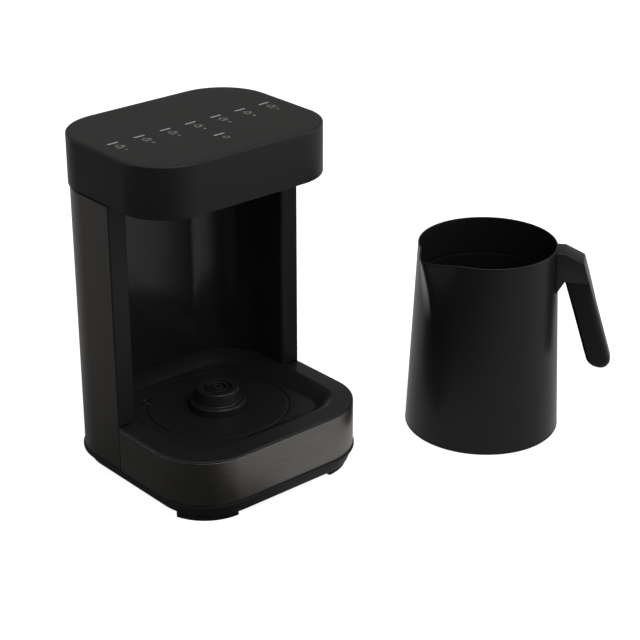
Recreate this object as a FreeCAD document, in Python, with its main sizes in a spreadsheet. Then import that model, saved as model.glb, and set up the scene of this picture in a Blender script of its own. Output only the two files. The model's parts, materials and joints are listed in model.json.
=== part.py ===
import FreeCAD, Part
import math
import os

import Sketcher

# Electric turkish coffee maker: a machine with a touch panel head on a tower, a base with a round
# cordless connector, and the pot that stands beside it. Millimetres, +Z up, front towards -Y.
# The origin is on the counter, below the axis of the connector.

SIZES = {
    # Base
    "base_width": 160.0,
    "base_depth": 155.0,
    "base_corner": 40.0,
    "foot_height": 5.0,
    "foot_inset": 4.8,
    "foot_breadth": 9.0,
    "foot_sweep": 73.0,
    "foot_angle": 37.0,
    "side_foot_inset": 9.4,
    "side_foot_length": 29.4,
    "side_foot_place": 22.5,
    "pan_height": 8.8,
    "pan_lip_height": 2.0,
    "pan_lip_proud": 0.8,
    "pan_chamfer": 4.0,
    "pan_front_chamfer": 0.8,
    "pan_wall": 2.2,
    "band_height": 32.4,
    "band_wall": 0.8,
    "band_stop": 0.8,
    # Deck
    "deck_edge": 1.2,
    "deck_crown": 1.1,
    "deck_wall": 2.5,
    "skirt_gap": 0.8,
    "rim_side": 15.0,
    "rim_front": 15.0,
    "rim_rear": 12.0,
    "dish_front_corner": 25.0,
    "dish_depth": 7.5,
    "dish_slope": 11.5,
    "bead_radius": 50.5,
    "bead_width": 1.6,
    "bead_depth": 0.7,
    "drain_radius": 2.6,
    "drain_angle": 135.0,
    # Connector
    "boss_radius": 15.0,
    "boss_height": 14.5,
    "boss_step_radius": 20.0,
    "boss_step_height": 5.5,
    "boss_edge": 1.5,
    "groove_outer": 9.0,
    "groove_inner": 5.0,
    "groove_width": 1.6,
    "groove_depth": 4.0,
    "contact_height": 1.2,
    "pin_hole": 1.8,
    "flange_breadth": 5.0,
    "flange_wall": 3.0,
    "retainer_breadth": 9.0,
    "retainer_wall": 2.5,
    "retainer_screw_gap": 4.5,
    # Tower
    "tower_side_step": 0.5,
    "tower_rear_step": 0.1,
    "tower_corner_step": 0.2,
    "tower_front": 6.8,
    "tower_height": 193.2,
    "cover_wall": 0.8,
    "tower_wall": 2.0,
    "bay_front_wall": 2.5,
    "bay_edge": 2.4,
    "bay_corner": 36.0,
    "liner_wall": 2.0,
    "rib_side_inset": 8.0,
    "rib_front_inset": 8.2,
    "rib_rear_inset": 35.4,
    "rib_depth": 10.0,
    "rib_breadth": 7.0,
    # Head
    "head_side_step": 0.75,
    "head_front": 43.4,
    "head_rear_proud": 2.0,
    "head_front_corner": 34.6,
    "head_corner_step": 1.5,
    "head_height": 35.7,
    "head_wall": 2.2,
    "head_seam": -1.0,
    "seam_gap": 0.25,
    "panel_height": 2.0,
    "panel_edge": 1.2,
    "ledge_height": 2.0,
    "ledge_width": 6.0,
    "plate_wall": 2.2,
    "key_margin": 15.9,
    "key_row_inset": 57.4,
    "bar_step": 7.7,
    "power_key_inset": 26.9,
    "power_bar_step": 7.6,
    "bar_length": 8.5,
    "bar_width": 1.6,
    "board_wall": 1.6,
    "board_margin": 7.75,
    "board_front_margin": 21.4,
    "board_length": 50.0,
    "board_drop": 5.2,
    "led_height": 0.8,
    "spring_radius": 3.5,
    "spring_wall": 0.7,
    "post_radius": 3.5,
    "post_side_inset": 21.0,
    "post_inset": 5.0,
    "bracket_margin": 3.75,
    "bracket_reach": 16.8,
    "bracket_end": 8.0,
    "bracket_arm": 14.0,
    "bracket_wall": 1.5,
    "bracket_flange": 8.0,
    "lens_radius": 4.5,
    "lens_drop": 1.5,
    "sensor_place": 12.0,
    # Electrics in the base
    "power_board_half": 38.0,
    "power_board_front": -46.0,
    "power_board_rear": 30.0,
    "pillar_gap": 8.0,
    "pillar_front_inset": 22.0,
    "pillar_rear_inset": 25.0,
    "pillar_wall": 1.4,
    "standoff_inset": 4.0,
    "part_inset": 7.0,
    "transformer_width": 24.0,
    "transformer_depth": 18.0,
    "transformer_height": 15.0,
    "coil_width": 14.0,
    "coil_overhang": 4.0,
    "relay_width": 19.0,
    "relay_depth": 16.0,
    "relay_height": 14.0,
    "capacitor_radius": 5.0,
    "capacitor_height": 13.0,
    "heatsink_width": 18.0,
    "heatsink_fin": 2.0,
    "heatsink_pitch": 5.0,
    "heatsink_height": 15.0,
    "terminal_width": 24.0,
    "terminal_depth": 12.0,
    "terminal_height": 12.0,
    "terminal_inset": 7.0,
    "terminal_pitch": 7.5,
    "standoff": 3.8,
    "gland_radius": 6.0,
    "gland_bore": 3.5,
    "gland_flange": 8.5,
    "gland_proud": 1.8,
    "gland_length": 13.0,
    "gland_place": 25.0,
    "harness_radius": 2.0,
    "harness_place": 22.0,
    "harness_bend": 8.0,
    # Fasteners
    "screw_radius": 1.5,
    "screw_head": 2.8,
    "screw_head_height": 1.8,
    "screw_socket": 1.2,
    "pilot_depth": 14.0,
    "base_screw_length": 14.0,
    "connector_screw_length": 6.0,
    "tower_screw_length": 12.0,
    "handle_screw_length": 10.0,
    # Pot
    "pot_x": 180.0,
    "pot_y": -83.0,
    "pot_height": 141.0,
    "pot_foot_radius": 55.8,
    "pot_rim_radius": 49.3,
    "pot_wall": 1.2,
    "pot_ring_height": 2.6,
    "pot_ring_edge": 1.6,
    "plate_gap": 3.2,
    "pot_plate": 2.5,
    "spout_angle": 176.0,
    "spout_reach": 11.7,
    "spout_depth": 46.0,
    "spout_half_width": 19.0,
    "spout_nose": 4.0,
    "base_cover_wall": 2.2,
    "base_cover_skirt": 12.0,
    "socket_wall": 3.2,
    "socket_roof": 3.0,
    "socket_clear": 0.8,
    "element_radius": 38.0,
    "element_tube": 3.2,
    "seal_breadth": 2.2,
    "motor_radius": 12.0,
    "motor_height": 10.5,
    "motor_ear": 2.0,
    "shaft_radius": 1.0,
    "carrier_rim": 1.5,
    "carrier_height": 3.2,
    "magnet_radius": 3.0,
    "magnet_height": 2.0,
    "magnet_place": 8.5,
    "spindle_radius": 1.5,
    "spindle_height": 11.0,
    "stirrer_radius": 15.0,
    "hub_radius": 5.0,
    "hub_height": 8.0,
    "blade_wall": 1.4,
    # Handle
    "handle_angle": -50.0,
    "handle_width": 20.0,
    "handle_edge": 3.6,
    "elbow_edge": 1.6,
    "elbow_flat": 5.4,
    "elbow_flat_radius": 3.0,
    "handle_top_drop": 1.7,
    "handle_reach": 19.0,
    "handle_shoulder_drop": 6.5,
    "handle_shoulder_radius": 2.0,
    "handle_lean": 0.304,
    "handle_thick": 17.3,
    "handle_seam_drop": 21.3,
    "handle_root_drop": 35.1,
    "handle_length": 66.2,
    "handle_end_radius": 8.0,
    "tongue_width": 10.0,
    "tongue_inset": 4.5,
    "tongue_breadth": 8.0,
    "tongue_length": 18.0,
    "handle_screw_inset": 5.0,
    "handle_screw_pitch": 8.0,
    "handle_screw_sink": 2.4,
    # Clearances
    "fit": 0.1,
    "slack": 0.3,
    "running": 0.3,
}

doc = FreeCAD.newDocument("coffee_maker")
sheet = doc.addObject("Spreadsheet::Sheet", "Sizes")


class Size:
    """A length worked out from the sheet: the expression that binds it and its value now."""

    def __init__(self, text, value):
        self.text = text
        self.value = float(value)

    def __add__(self, other):
        other = size_of(other)
        return Size("(%s + %s)" % (self.text, other.text), self.value + other.value)

    def __sub__(self, other):
        other = size_of(other)
        return Size("(%s - %s)" % (self.text, other.text), self.value - other.value)

    def __mul__(self, other):
        other = size_of(other)
        return Size("(%s * %s)" % (self.text, other.text), self.value * other.value)

    def __truediv__(self, other):
        other = size_of(other)
        return Size("(%s / %s)" % (self.text, other.text), self.value / other.value)

    def __radd__(self, other):
        return size_of(other) + self

    def __rsub__(self, other):
        return size_of(other) - self

    def __rmul__(self, other):
        return size_of(other) * self

    def __neg__(self):
        return Size("(-1 * %s)" % self.text, -self.value)


def size_of(number):
    """Any number as a Size."""
    return number if isinstance(number, Size) else Size(repr(float(number)), number)


class Cells:
    """The cells of the sheet by name."""


cell = Cells()
for row, (alias, value) in enumerate(SIZES.items(), 1):
    sheet.set("A%d" % row, alias)
    sheet.set("B%d" % row, str(value))
    sheet.setAlias("B%d" % row, alias)
    setattr(cell, alias, Size("Sizes." + alias, value))
doc.recompute()


# Sketch and feature helpers

def bind(item, prop, value):
    """Bind one property of an object to a length from the sheet."""
    value = size_of(value)
    item.setExpression(prop, value.text)


def place(item, x=0, y=0, z=0, turn=None, axis=(0, 0, 1)):
    """Put a finished object at a place worked out from the sheet, turned about one axis."""
    if turn is not None:
        vector = FreeCAD.Vector(*axis)
        item.Placement = FreeCAD.Placement(FreeCAD.Vector(), FreeCAD.Rotation(vector, size_of(turn).value))
        bind(item, "Placement.Rotation.Angle", turn)
    for name, value in (("x", x), ("y", y), ("z", z)):
        if isinstance(value, Size) or value:
            bind(item, "Placement.Base." + name, value)
    return item


def new_body(label):
    """An empty body whose label is the name of its node."""
    item = doc.addObject("PartDesign::Body", label)
    item.Label = label
    return item


def new_sketch(owner, role="XY_Plane", lift=0):
    """A sketch on one of the body's own origin planes, lifted along that plane's normal."""
    sketch = owner.newObject("Sketcher::SketchObject", owner.Label + "_sketch")
    plane = [entry for entry in owner.Origin.OriginFeatures if entry.Role == role][0]
    sketch.AttachmentSupport = [(plane, "")]
    sketch.MapMode = "FlatFace"
    if isinstance(lift, Size) or lift:
        bind(sketch, "AttachmentOffset.Base.z", lift)
    return sketch


def hold(sketch, entry, point, x, y):
    """Fix one point of a sketch at x, y from its origin."""
    for kind, axis, value in (("DistanceX", -2, x), ("DistanceY", -1, y)):
        if isinstance(value, Size):
            index = sketch.addConstraint(Sketcher.Constraint(kind, -1, 1, entry, point, value.value))
            sketch.setExpression("Constraints[%d]" % index, value.text)
        elif value == 0:
            sketch.addConstraint(Sketcher.Constraint("PointOnObject", entry, point, axis))
        else:
            sketch.addConstraint(Sketcher.Constraint(kind, -1, 1, entry, point, float(value)))


def radius(sketch, entry, value):
    """Fix the radius of a circle or an arc."""
    value = size_of(value)
    index = sketch.addConstraint(Sketcher.Constraint("Radius", entry, value.value))
    sketch.setExpression("Constraints[%d]" % index, value.text)


def circle(sketch, x, y, r):
    """A circle at x, y."""
    centre = FreeCAD.Vector(size_of(x).value, size_of(y).value, 0)
    entry = sketch.addGeometry(Part.Circle(centre, FreeCAD.Vector(0, 0, 1), size_of(r).value), False)
    hold(sketch, entry, 3, x, y)
    radius(sketch, entry, r)


def path(sketch, corners, closed=True):
    """A line through corners (x, y) or (x, y, r), where r rounds the corner with an arc."""
    count = len(corners)
    spots = [FreeCAD.Vector(size_of(c[0]).value, size_of(c[1]).value, 0) for c in corners]
    rounds = [c[2] if len(c) > 2 else None for c in corners]
    entry_side, exit_side, arcs = list(spots), list(spots), [None] * count
    for i, bend in enumerate(rounds):
        if bend is None:
            continue
        r = size_of(bend).value
        back = (spots[i - 1] - spots[i]).normalize()
        ahead = (spots[(i + 1) % count] - spots[i]).normalize()
        half = back.getAngle(ahead) / 2
        centre = spots[i] + (back + ahead).normalize() * (r / math.sin(half))
        entry_side[i] = spots[i] + back * (r / math.tan(half))
        exit_side[i] = spots[i] + ahead * (r / math.tan(half))
        first = math.atan2(entry_side[i].y - centre.y, entry_side[i].x - centre.x)
        last = math.atan2(exit_side[i].y - centre.y, exit_side[i].x - centre.x)
        left_turn = back.cross(ahead).z < 0
        if not left_turn:
            first, last = last, first
        ring = Part.Circle(centre, FreeCAD.Vector(0, 0, 1), r)
        arc = sketch.addGeometry(Part.ArcOfCircle(ring, first, last), False)
        arcs[i] = (arc, 1, 2) if left_turn else (arc, 2, 1)
    lines = []
    for i in range(count if closed else count - 1):
        segment = Part.LineSegment(exit_side[i], entry_side[(i + 1) % count])
        lines.append(sketch.addGeometry(segment, False))
    for i, corner in enumerate(corners):
        first_end = not closed and i == 0
        last_end = not closed and i == count - 1
        if first_end or last_end:
            hold(sketch, lines[0 if first_end else -1], 1 if first_end else 2, corner[0], corner[1])
            continue
        before, after = lines[i - 1], lines[i]
        if arcs[i] is None:
            sketch.addConstraint(Sketcher.Constraint("Coincident", before, 2, after, 1))
            hold(sketch, after, 1, corner[0], corner[1])
            continue
        arc, enter, leave = arcs[i]
        sketch.addConstraint(Sketcher.Constraint("Tangent", before, 2, arc, enter))
        sketch.addConstraint(Sketcher.Constraint("Tangent", arc, leave, after, 1))
        radius(sketch, arc, corner[2])
        spot = sketch.addGeometry(Part.Point(spots[i]), True)
        hold(sketch, spot, 1, corner[0], corner[1])
        sketch.addConstraint(Sketcher.Constraint("PointOnObject", spot, 1, before))
        sketch.addConstraint(Sketcher.Constraint("PointOnObject", spot, 1, after))


def circles(spots, r):
    """A drawing of equal circles at (x, y) spots."""
    def draw(sketch):
        for x, y in spots:
            circle(sketch, x, y, r)
    return draw


def rectangle(sketch, left, front, right, rear):
    """A plain rectangle between two corners."""
    path(sketch, [(left, front), (right, front), (right, rear), (left, rear)])


class Plan:
    """A plan outline with straight sides, round front corners and round rear corners."""

    def __init__(self, half, front, rear, front_corner, rear_corner):
        self.half, self.front, self.rear = half, front, rear
        self.front_corner, self.rear_corner = front_corner, rear_corner

    def inset(self, step):
        """The same outline, a step further in all round."""
        return Plan(self.half - step, self.front + step, self.rear - step,
                    self.front_corner - step, self.rear_corner - step)

    def draw(self, sketch):
        """Draw the outline in a sketch."""
        path(sketch, [(-self.half, self.front, self.front_corner), (self.half, self.front, self.front_corner),
                      (self.half, self.rear, self.rear_corner), (-self.half, self.rear, self.rear_corner)])


def feature(owner, kind, sketch, length=None, upward=None):
    """A pad, pocket, revolution or groove from a sketch; upward turns a pocket along its normal."""
    item = owner.newObject("PartDesign::" + kind, owner.Label + "_" + kind.lower())
    item.Profile = sketch
    if length is not None:
        bind(item, "Length", length)
    if upward is not None:
        item.Reversed = upward
    return item


def pad(owner, draw, low, length, role="XY_Plane"):
    """Add what draw sketches at a height, for a length along the normal."""
    sketch = new_sketch(owner, role, low)
    draw(sketch)
    return feature(owner, "Pad", sketch, length)


def pocket(owner, draw, low, length, role="XY_Plane"):
    """Cut what draw sketches at a height, for a length along the normal."""
    sketch = new_sketch(owner, role, low)
    draw(sketch)
    return feature(owner, "Pocket", sketch, length, upward=True)


def spin(owner, corners, kind="Revolution"):
    """Turn a half section, given as radius and height, about the body's upright axis."""
    sketch = new_sketch(owner, "XZ_Plane")
    path(sketch, corners)
    item = feature(owner, kind, sketch)
    item.ReferenceAxis = (sketch, ["V_Axis"])
    item.Angle = 360.0
    return item


def loft(owner, kind, stages):
    """A straight loft between drawn outlines, given as (draw, height)."""
    sketches = []
    for draw, lift in stages:
        sketch = new_sketch(owner, "XY_Plane", lift)
        draw(sketch)
        sketches.append(sketch)
    item = owner.newObject("PartDesign::" + kind, owner.Label + "_loft")
    item.Profile = sketches[0]
    item.Sections = sketches[1:]
    item.Ruled = True
    return item


def round_edges(owner, base, size, wanted):
    """Round those edges of a feature that wanted picks."""
    doc.recompute([base.Profile[0], base])
    names = ["Edge%d" % (i + 1) for i, edge in enumerate(base.Shape.Edges) if wanted(edge)]
    item = owner.newObject("PartDesign::Fillet", owner.Label + "_fillet")
    item.Base = (base, names)
    bind(item, "Radius", size)
    return item


def box(name, low, size):
    """A block from its lowest corner and its three sizes."""
    item = doc.addObject("Part::Box", name)
    for prop, value in zip(("Length", "Width", "Height"), size):
        bind(item, prop, value)
    return place(item, *low)


def rod(name, centre, r, length, turn=None, axis=(0, 0, 1)):
    """A cylinder that starts at centre and goes up, or along the way that turn gives."""
    item = doc.addObject("Part::Cylinder", name)
    bind(item, "Radius", r)
    bind(item, "Height", length)
    return place(item, *centre, turn=turn, axis=axis)


def cut(name, base, tool):
    """What is left of base after tool."""
    item = doc.addObject("Part::Cut", name)
    item.Base, item.Tool = base, tool
    return item


def fuse(name, pieces):
    """Several overlapping objects as one solid."""
    item = doc.addObject("Part::MultiFuse", name)
    item.Shapes = pieces
    item.Refine = True
    return item


def group(label, pieces):
    """Separate solids of one kind under one node."""
    item = doc.addObject("Part::Compound", label)
    item.Links = pieces
    item.Label = label
    return item


def tube(name, centre, outer, inner, length):
    """A round sleeve."""
    sleeve = rod(name + "_outer", centre, outer, length)
    return cut(name, sleeve, rod(name + "_bore", centre, inner, length))


def screw(name, x, y, z, length, turn=0, axis=(1, 0, 0)):
    """A cross-driven screw with its seat at x, y, z: its head below it and its shank above."""
    head = rod(name + "_head", (0, 0, -cell.screw_head_height), cell.screw_head, cell.screw_head_height)
    shank = rod(name + "_shank", (0, 0, -cell.screw_head_height / 2), cell.screw_radius,
                size_of(length) + cell.screw_head_height / 2)
    drive = doc.addObject("Part::Prism", name + "_drive")
    drive.Polygon = 6
    bind(drive, "Circumradius", cell.screw_socket)
    bind(drive, "Height", cell.screw_head_height / 2)
    place(drive, 0, 0, -cell.screw_head_height)
    item = cut(name, fuse(name + "_blank", [head, shank]), drive)
    return place(item, x, y, z, turn=turn, axis=axis)


def screws(label, spots, z, length, turn=0, axis=(1, 0, 0)):
    """One node of equal screws at (x, y) spots."""
    return group(label, [screw("%s_%d" % (label, i + 1), x, y, z, length, turn, axis)
                         for i, (x, y) in enumerate(spots)])


# Places that several pieces share

tower_half = cell.base_width / 2 - cell.tower_side_step
tower_rear = cell.base_depth / 2 - cell.tower_rear_step
tower_corner = cell.base_corner - cell.tower_corner_step
dish_half = cell.base_width / 2 - cell.rim_side
dish_front = cell.rim_front - cell.base_depth / 2
bay_rear = cell.base_depth / 2 - cell.rim_rear
rib_place = tower_half - cell.rib_side_inset
rib_rows = (cell.tower_front + cell.rib_front_inset, tower_rear - cell.rib_rear_inset)
head_half = tower_half - cell.head_side_step
board_half = head_half - cell.board_margin
board_front = cell.board_front_margin - cell.head_front
board_rear = board_front + cell.board_length
key_pitch = (head_half - cell.key_margin) / 3
key_row = cell.key_row_inset - cell.head_front
power_key_row = cell.power_key_inset - cell.head_front
boss_flange = cell.boss_step_radius + cell.flange_breadth
socket_radius = cell.boss_step_radius + cell.socket_clear + cell.socket_wall
carrier_radius = cell.magnet_place + cell.magnet_radius + cell.carrier_rim

# Heights that several pieces share

pan_low = cell.foot_height
pan_top = pan_low + cell.pan_height
band_top = pan_top + cell.band_height
deck_top = band_top + cell.deck_edge + cell.deck_crown
dish_floor = deck_top - cell.dish_depth
dish_under = dish_floor - cell.deck_wall
tower_top = pan_top + cell.tower_height
head_top = tower_top + cell.head_height
panel_low = head_top - cell.panel_height
board_top = panel_low - cell.board_drop
board_low = board_top - cell.board_wall
head_floor = tower_top + cell.plate_wall
motor_low = cell.boss_height + cell.socket_clear + cell.socket_roof
motor_top = motor_low + cell.motor_height
carrier_low = motor_top + cell.running
plate_low = carrier_low + cell.carrier_height + cell.plate_gap
pot_floor = plate_low + cell.pot_plate
handle_top = cell.pot_height - cell.handle_top_drop
handle_shoulder = handle_top - cell.handle_shoulder_drop
handle_seam = handle_top - cell.handle_seam_drop
handle_bottom = handle_seam - cell.handle_length

# Plan outlines that several pieces share

base_plan = Plan(cell.base_width / 2, -cell.base_depth / 2, cell.base_depth / 2,
                 cell.base_corner, cell.base_corner)
dish_plan = Plan(dish_half, dish_front, bay_rear,
                 cell.dish_front_corner, cell.bay_corner)
tower_plan = Plan(tower_half, -cell.base_depth / 2, tower_rear, cell.base_corner, tower_corner)
bay_plan = Plan(dish_half, -cell.base_depth / 2, bay_rear, cell.base_corner, cell.bay_corner)
head_plan = Plan(head_half, -cell.head_front, tower_rear + cell.head_rear_proud,
                 cell.head_front_corner, tower_corner - cell.head_corner_step)
skirt_plan = base_plan.inset(cell.band_wall + cell.skirt_gap)

SIDES = (-1, 1)
NODES = []


def keep(item):
    """Note an object as one node of the model."""
    NODES.append(item)
    return item


def ahead_of(seam):
    """A drawing that covers everything in front of y = seam."""
    return lambda sketch: rectangle(sketch, -cell.base_width, -cell.base_depth, cell.base_width, seam)


def behind(seam):
    """A drawing that covers everything behind y = seam."""
    return lambda sketch: rectangle(sketch, -cell.base_width, seam, cell.base_width, cell.base_depth)


# Base

pillar_spots = [(side * (cell.power_board_half + cell.pillar_gap), y) for side in SIDES
                for y in (dish_front + cell.pillar_front_inset, bay_rear - cell.pillar_rear_inset)]
pillar_radius = cell.screw_head + cell.pillar_wall
standoff_spots = [(side * (cell.power_board_half - cell.standoff_inset), y) for side in SIDES
                  for y in (cell.power_board_front + cell.standoff_inset,
                            cell.power_board_rear - cell.standoff_inset)]
terminal_front = bay_rear - cell.terminal_inset - cell.terminal_depth
pan_floor = pan_low + cell.pan_wall
pillar_low = pan_floor + cell.standoff


def base_pan():
    """Bottom pan with a chamfered foot edge, a lip below the band, screw bosses and standoffs."""
    item = new_body("base_pan")
    foot = Plan(cell.base_width / 2 - cell.pan_chamfer, cell.pan_front_chamfer - cell.base_depth / 2,
                cell.base_depth / 2 - cell.pan_chamfer, cell.base_corner - cell.pan_chamfer / 2,
                cell.base_corner - cell.pan_chamfer)
    shelf = pan_top - cell.pan_lip_height
    loft(item, "AdditiveLoft", [(foot.draw, pan_low), (base_plan.inset(0).draw, shelf)])
    pad(item, base_plan.inset(-cell.pan_lip_proud).draw, shelf, cell.pan_lip_height)
    pocket(item, base_plan.inset(cell.pan_chamfer + cell.pan_wall).draw, pan_floor, shelf - pan_floor)
    pocket(item, skirt_plan.inset(-cell.slack / 2).draw, shelf, cell.pan_lip_height + 1)
    pad(item, circles(pillar_spots, pillar_radius + 1.5), pan_low, pillar_low - pan_low)
    pad(item, circles(standoff_spots, cell.post_radius), pan_low, pillar_low - pan_low)
    seat = cell.terminal_width / 2 + cell.pan_wall
    pad(item, lambda s: rectangle(s, -seat, terminal_front - cell.pan_wall, seat,
                                  bay_rear - cell.terminal_inset + cell.pan_wall), pan_low, pillar_low - pan_low)
    pocket(item, circles(pillar_spots, cell.screw_head + cell.slack), pan_low, cell.standoff)
    pocket(item, circles(pillar_spots, cell.screw_radius + cell.fit), pan_low, pillar_low - pan_low)
    keep(item)


def rubber_feet():
    """Four pads: two that follow the front corners and two straight ones at the sides."""
    feet = []
    outer = cell.base_corner - cell.foot_inset
    for side in SIDES:
        name = "rubber_feet_front_%d" % (side + 2)
        sector = rod(name + "_outer", (0, 0, 0), outer, cell.foot_height)
        inner = rod(name + "_inner", (0, 0, 0), outer - cell.foot_breadth, cell.foot_height)
        for part in (sector, inner):
            bind(part, "Angle", cell.foot_sweep)
        middle = 270 + side * cell.foot_angle
        foot = cut(name, sector, inner)
        place(foot, side * (cell.base_width / 2 - cell.base_corner), cell.base_corner - cell.base_depth / 2, 0,
              turn=middle - cell.foot_sweep / 2)
        feet.append(foot)
        edge = cell.base_width / 2 - cell.side_foot_inset
        low = edge - cell.foot_breadth if side > 0 else -edge
        feet.append(box("rubber_feet_side_%d" % (side + 2),
                        (low, cell.side_foot_place - cell.side_foot_length / 2, 0),
                        (cell.foot_breadth, cell.side_foot_length, cell.foot_height)))
    keep(group("rubber_feet", feet))


def base_band():
    """Brushed steel band, a bent strip round the front of the base."""
    item = new_body("base_band")
    pad(item, base_plan.draw, pan_top, cell.band_height)
    pocket(item, base_plan.inset(cell.band_wall).draw, pan_top, cell.band_height)
    pocket(item, behind(cell.tower_front - cell.band_stop), pan_top, cell.band_height)
    keep(item)


def drain_spot():
    """Centre of the drain hole, on the bead round the connector."""
    angle = math.radians(cell.drain_angle.value)
    return cell.bead_radius * math.cos(angle), cell.bead_radius * math.sin(angle)


def deck_tray():
    """Deck with a dish, a rim crowned in front and flat below the tower, a notched skirt, pillars and posts."""
    item = new_body("deck_tray")
    pad(item, skirt_plan.draw, pan_top, cell.band_height)
    pad(item, base_plan.inset(0).draw, band_top, cell.deck_edge)
    loft(item, "AdditiveLoft", [(base_plan.inset(0).draw, band_top + cell.deck_edge),
                                (dish_plan.inset(0).draw, deck_top)])
    pocket(item, behind(cell.tower_front), band_top, deck_top - band_top)
    pad(item, lambda s: path(s, [(-skirt_plan.half, cell.tower_front), (skirt_plan.half, cell.tower_front),
                                 (skirt_plan.half, skirt_plan.rear, skirt_plan.rear_corner),
                                 (-skirt_plan.half, skirt_plan.rear, skirt_plan.rear_corner)]),
        band_top, deck_top - band_top)
    pocket(item, skirt_plan.inset(cell.deck_wall).draw, pan_top, dish_under - pan_top)
    pocket(item, lambda s: (skirt_plan.inset(cell.deck_wall).draw(s),
                            dish_plan.inset(-cell.deck_wall).draw(s)), dish_under,
           band_top - cell.deck_wall + cell.deck_edge + cell.deck_crown / 2 - dish_under)
    loft(item, "SubtractiveLoft", [(dish_plan.inset(cell.dish_slope).draw, dish_floor),
                                   (dish_plan.inset(0).draw, deck_top)])
    pad(item, circles(pillar_spots, pillar_radius), pillar_low, dish_under + 0.5 - pillar_low)
    pad(item, circles(retainer_spots(), cell.post_radius), dish_under - cell.flange_wall, cell.flange_wall + 0.5)
    pilot = cell.screw_radius + cell.fit
    pocket(item, circles(pillar_spots, pilot), pillar_low, cell.pilot_depth)
    pocket(item, circles(retainer_spots(), pilot), dish_under - cell.flange_wall, cell.flange_wall + 1)

    def through_holes(sketch):
        """The holes for the tower's screws, the drain, the connector and the wiring."""
        circles(rib_spots(), pilot)(sketch)
        circle(sketch, *drain_spot(), cell.drain_radius)
        circle(sketch, 0, 0, cell.boss_step_radius + cell.slack)
        circle(sketch, cell.harness_place, harness_rear(), cell.harness_radius + 1.5)

    pocket(item, through_holes, dish_under, cell.base_depth)
    notch = cell.gland_radius + cell.fit
    pocket(item, lambda s: rectangle(s, -notch, pan_top, notch, cell.gland_place + notch),
           -cell.base_depth, cell.base_depth, role="XZ_Plane")
    low, wide = dish_floor - cell.bead_depth, cell.bead_width / 2
    spin(item, [(cell.bead_radius - wide, low), (cell.bead_radius + wide, low),
                (cell.bead_radius + wide, dish_floor + 1), (cell.bead_radius - wide, dish_floor + 1)], "Groove")
    keep(item)


def retainer_spots():
    """Three places round the connector."""
    spots = []
    for i in range(3):
        angle = math.radians(90 + 120 * i)
        reach = boss_flange + cell.retainer_screw_gap
        spots.append((reach * math.cos(angle), reach * math.sin(angle)))
    return spots


def rib_spots():
    """The screw ribs of the tower, two on each side."""
    return [(side * rib_place, y) for side in SIDES for y in rib_rows]


# Connector

def connector_housing():
    """Stepped round boss with two ring grooves and a centre hole, and a flange under the deck."""
    item = new_body("connector_housing")
    top = dish_floor + cell.boss_height
    step = dish_floor + cell.boss_step_height
    low = dish_under - cell.flange_wall
    spin(item, [(0, low), (boss_flange, low), (boss_flange, dish_under),
                (cell.boss_step_radius, dish_under), (cell.boss_step_radius, step, cell.boss_edge),
                (cell.boss_radius, step), (cell.boss_radius, top, cell.boss_edge), (0, top)])
    for ring in (cell.groove_outer, cell.groove_inner):
        half = cell.groove_width / 2
        spin(item, [(ring - half, top - cell.groove_depth), (ring + half, top - cell.groove_depth),
                    (ring + half, top + 1), (ring - half, top + 1)], "Groove")
    pocket(item, lambda s: circle(s, 0, 0, cell.pin_hole), top - 2 * cell.groove_depth, 2 * cell.groove_depth)
    pocket(item, lambda s: circle(s, 0, 0, cell.boss_radius - 2), low, cell.flange_wall + cell.deck_wall)
    keep(item)


def connector_contacts():
    """Two contact rings and the centre contact, at the bottoms of the grooves."""
    top = dish_floor + cell.boss_height
    half = cell.groove_width / 2 - cell.fit
    low = top - cell.groove_depth
    rings = [tube("connector_contacts_%d" % i, (0, 0, low), ring + half, ring - half, cell.contact_height)
             for i, ring in enumerate((cell.groove_outer, cell.groove_inner))]
    rings.append(tube("connector_contacts_2", (0, 0, top - 2 * cell.groove_depth),
                      cell.pin_hole - cell.fit, cell.pin_hole / 2, cell.contact_height))
    keep(group("connector_contacts", rings))


def connector_retainer():
    """Ring that clamps the connector against the underside of the deck."""
    item = new_body("connector_retainer")
    low = dish_under - cell.flange_wall - cell.retainer_wall
    pad(item, lambda s: (circle(s, 0, 0, boss_flange + cell.retainer_breadth), circle(s, 0, 0, cell.boss_step_radius)),
        low, cell.retainer_wall)
    pocket(item, circles(retainer_spots(), cell.screw_radius + cell.fit), low, cell.retainer_wall)
    keep(item)


# Electrics in the base

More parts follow.
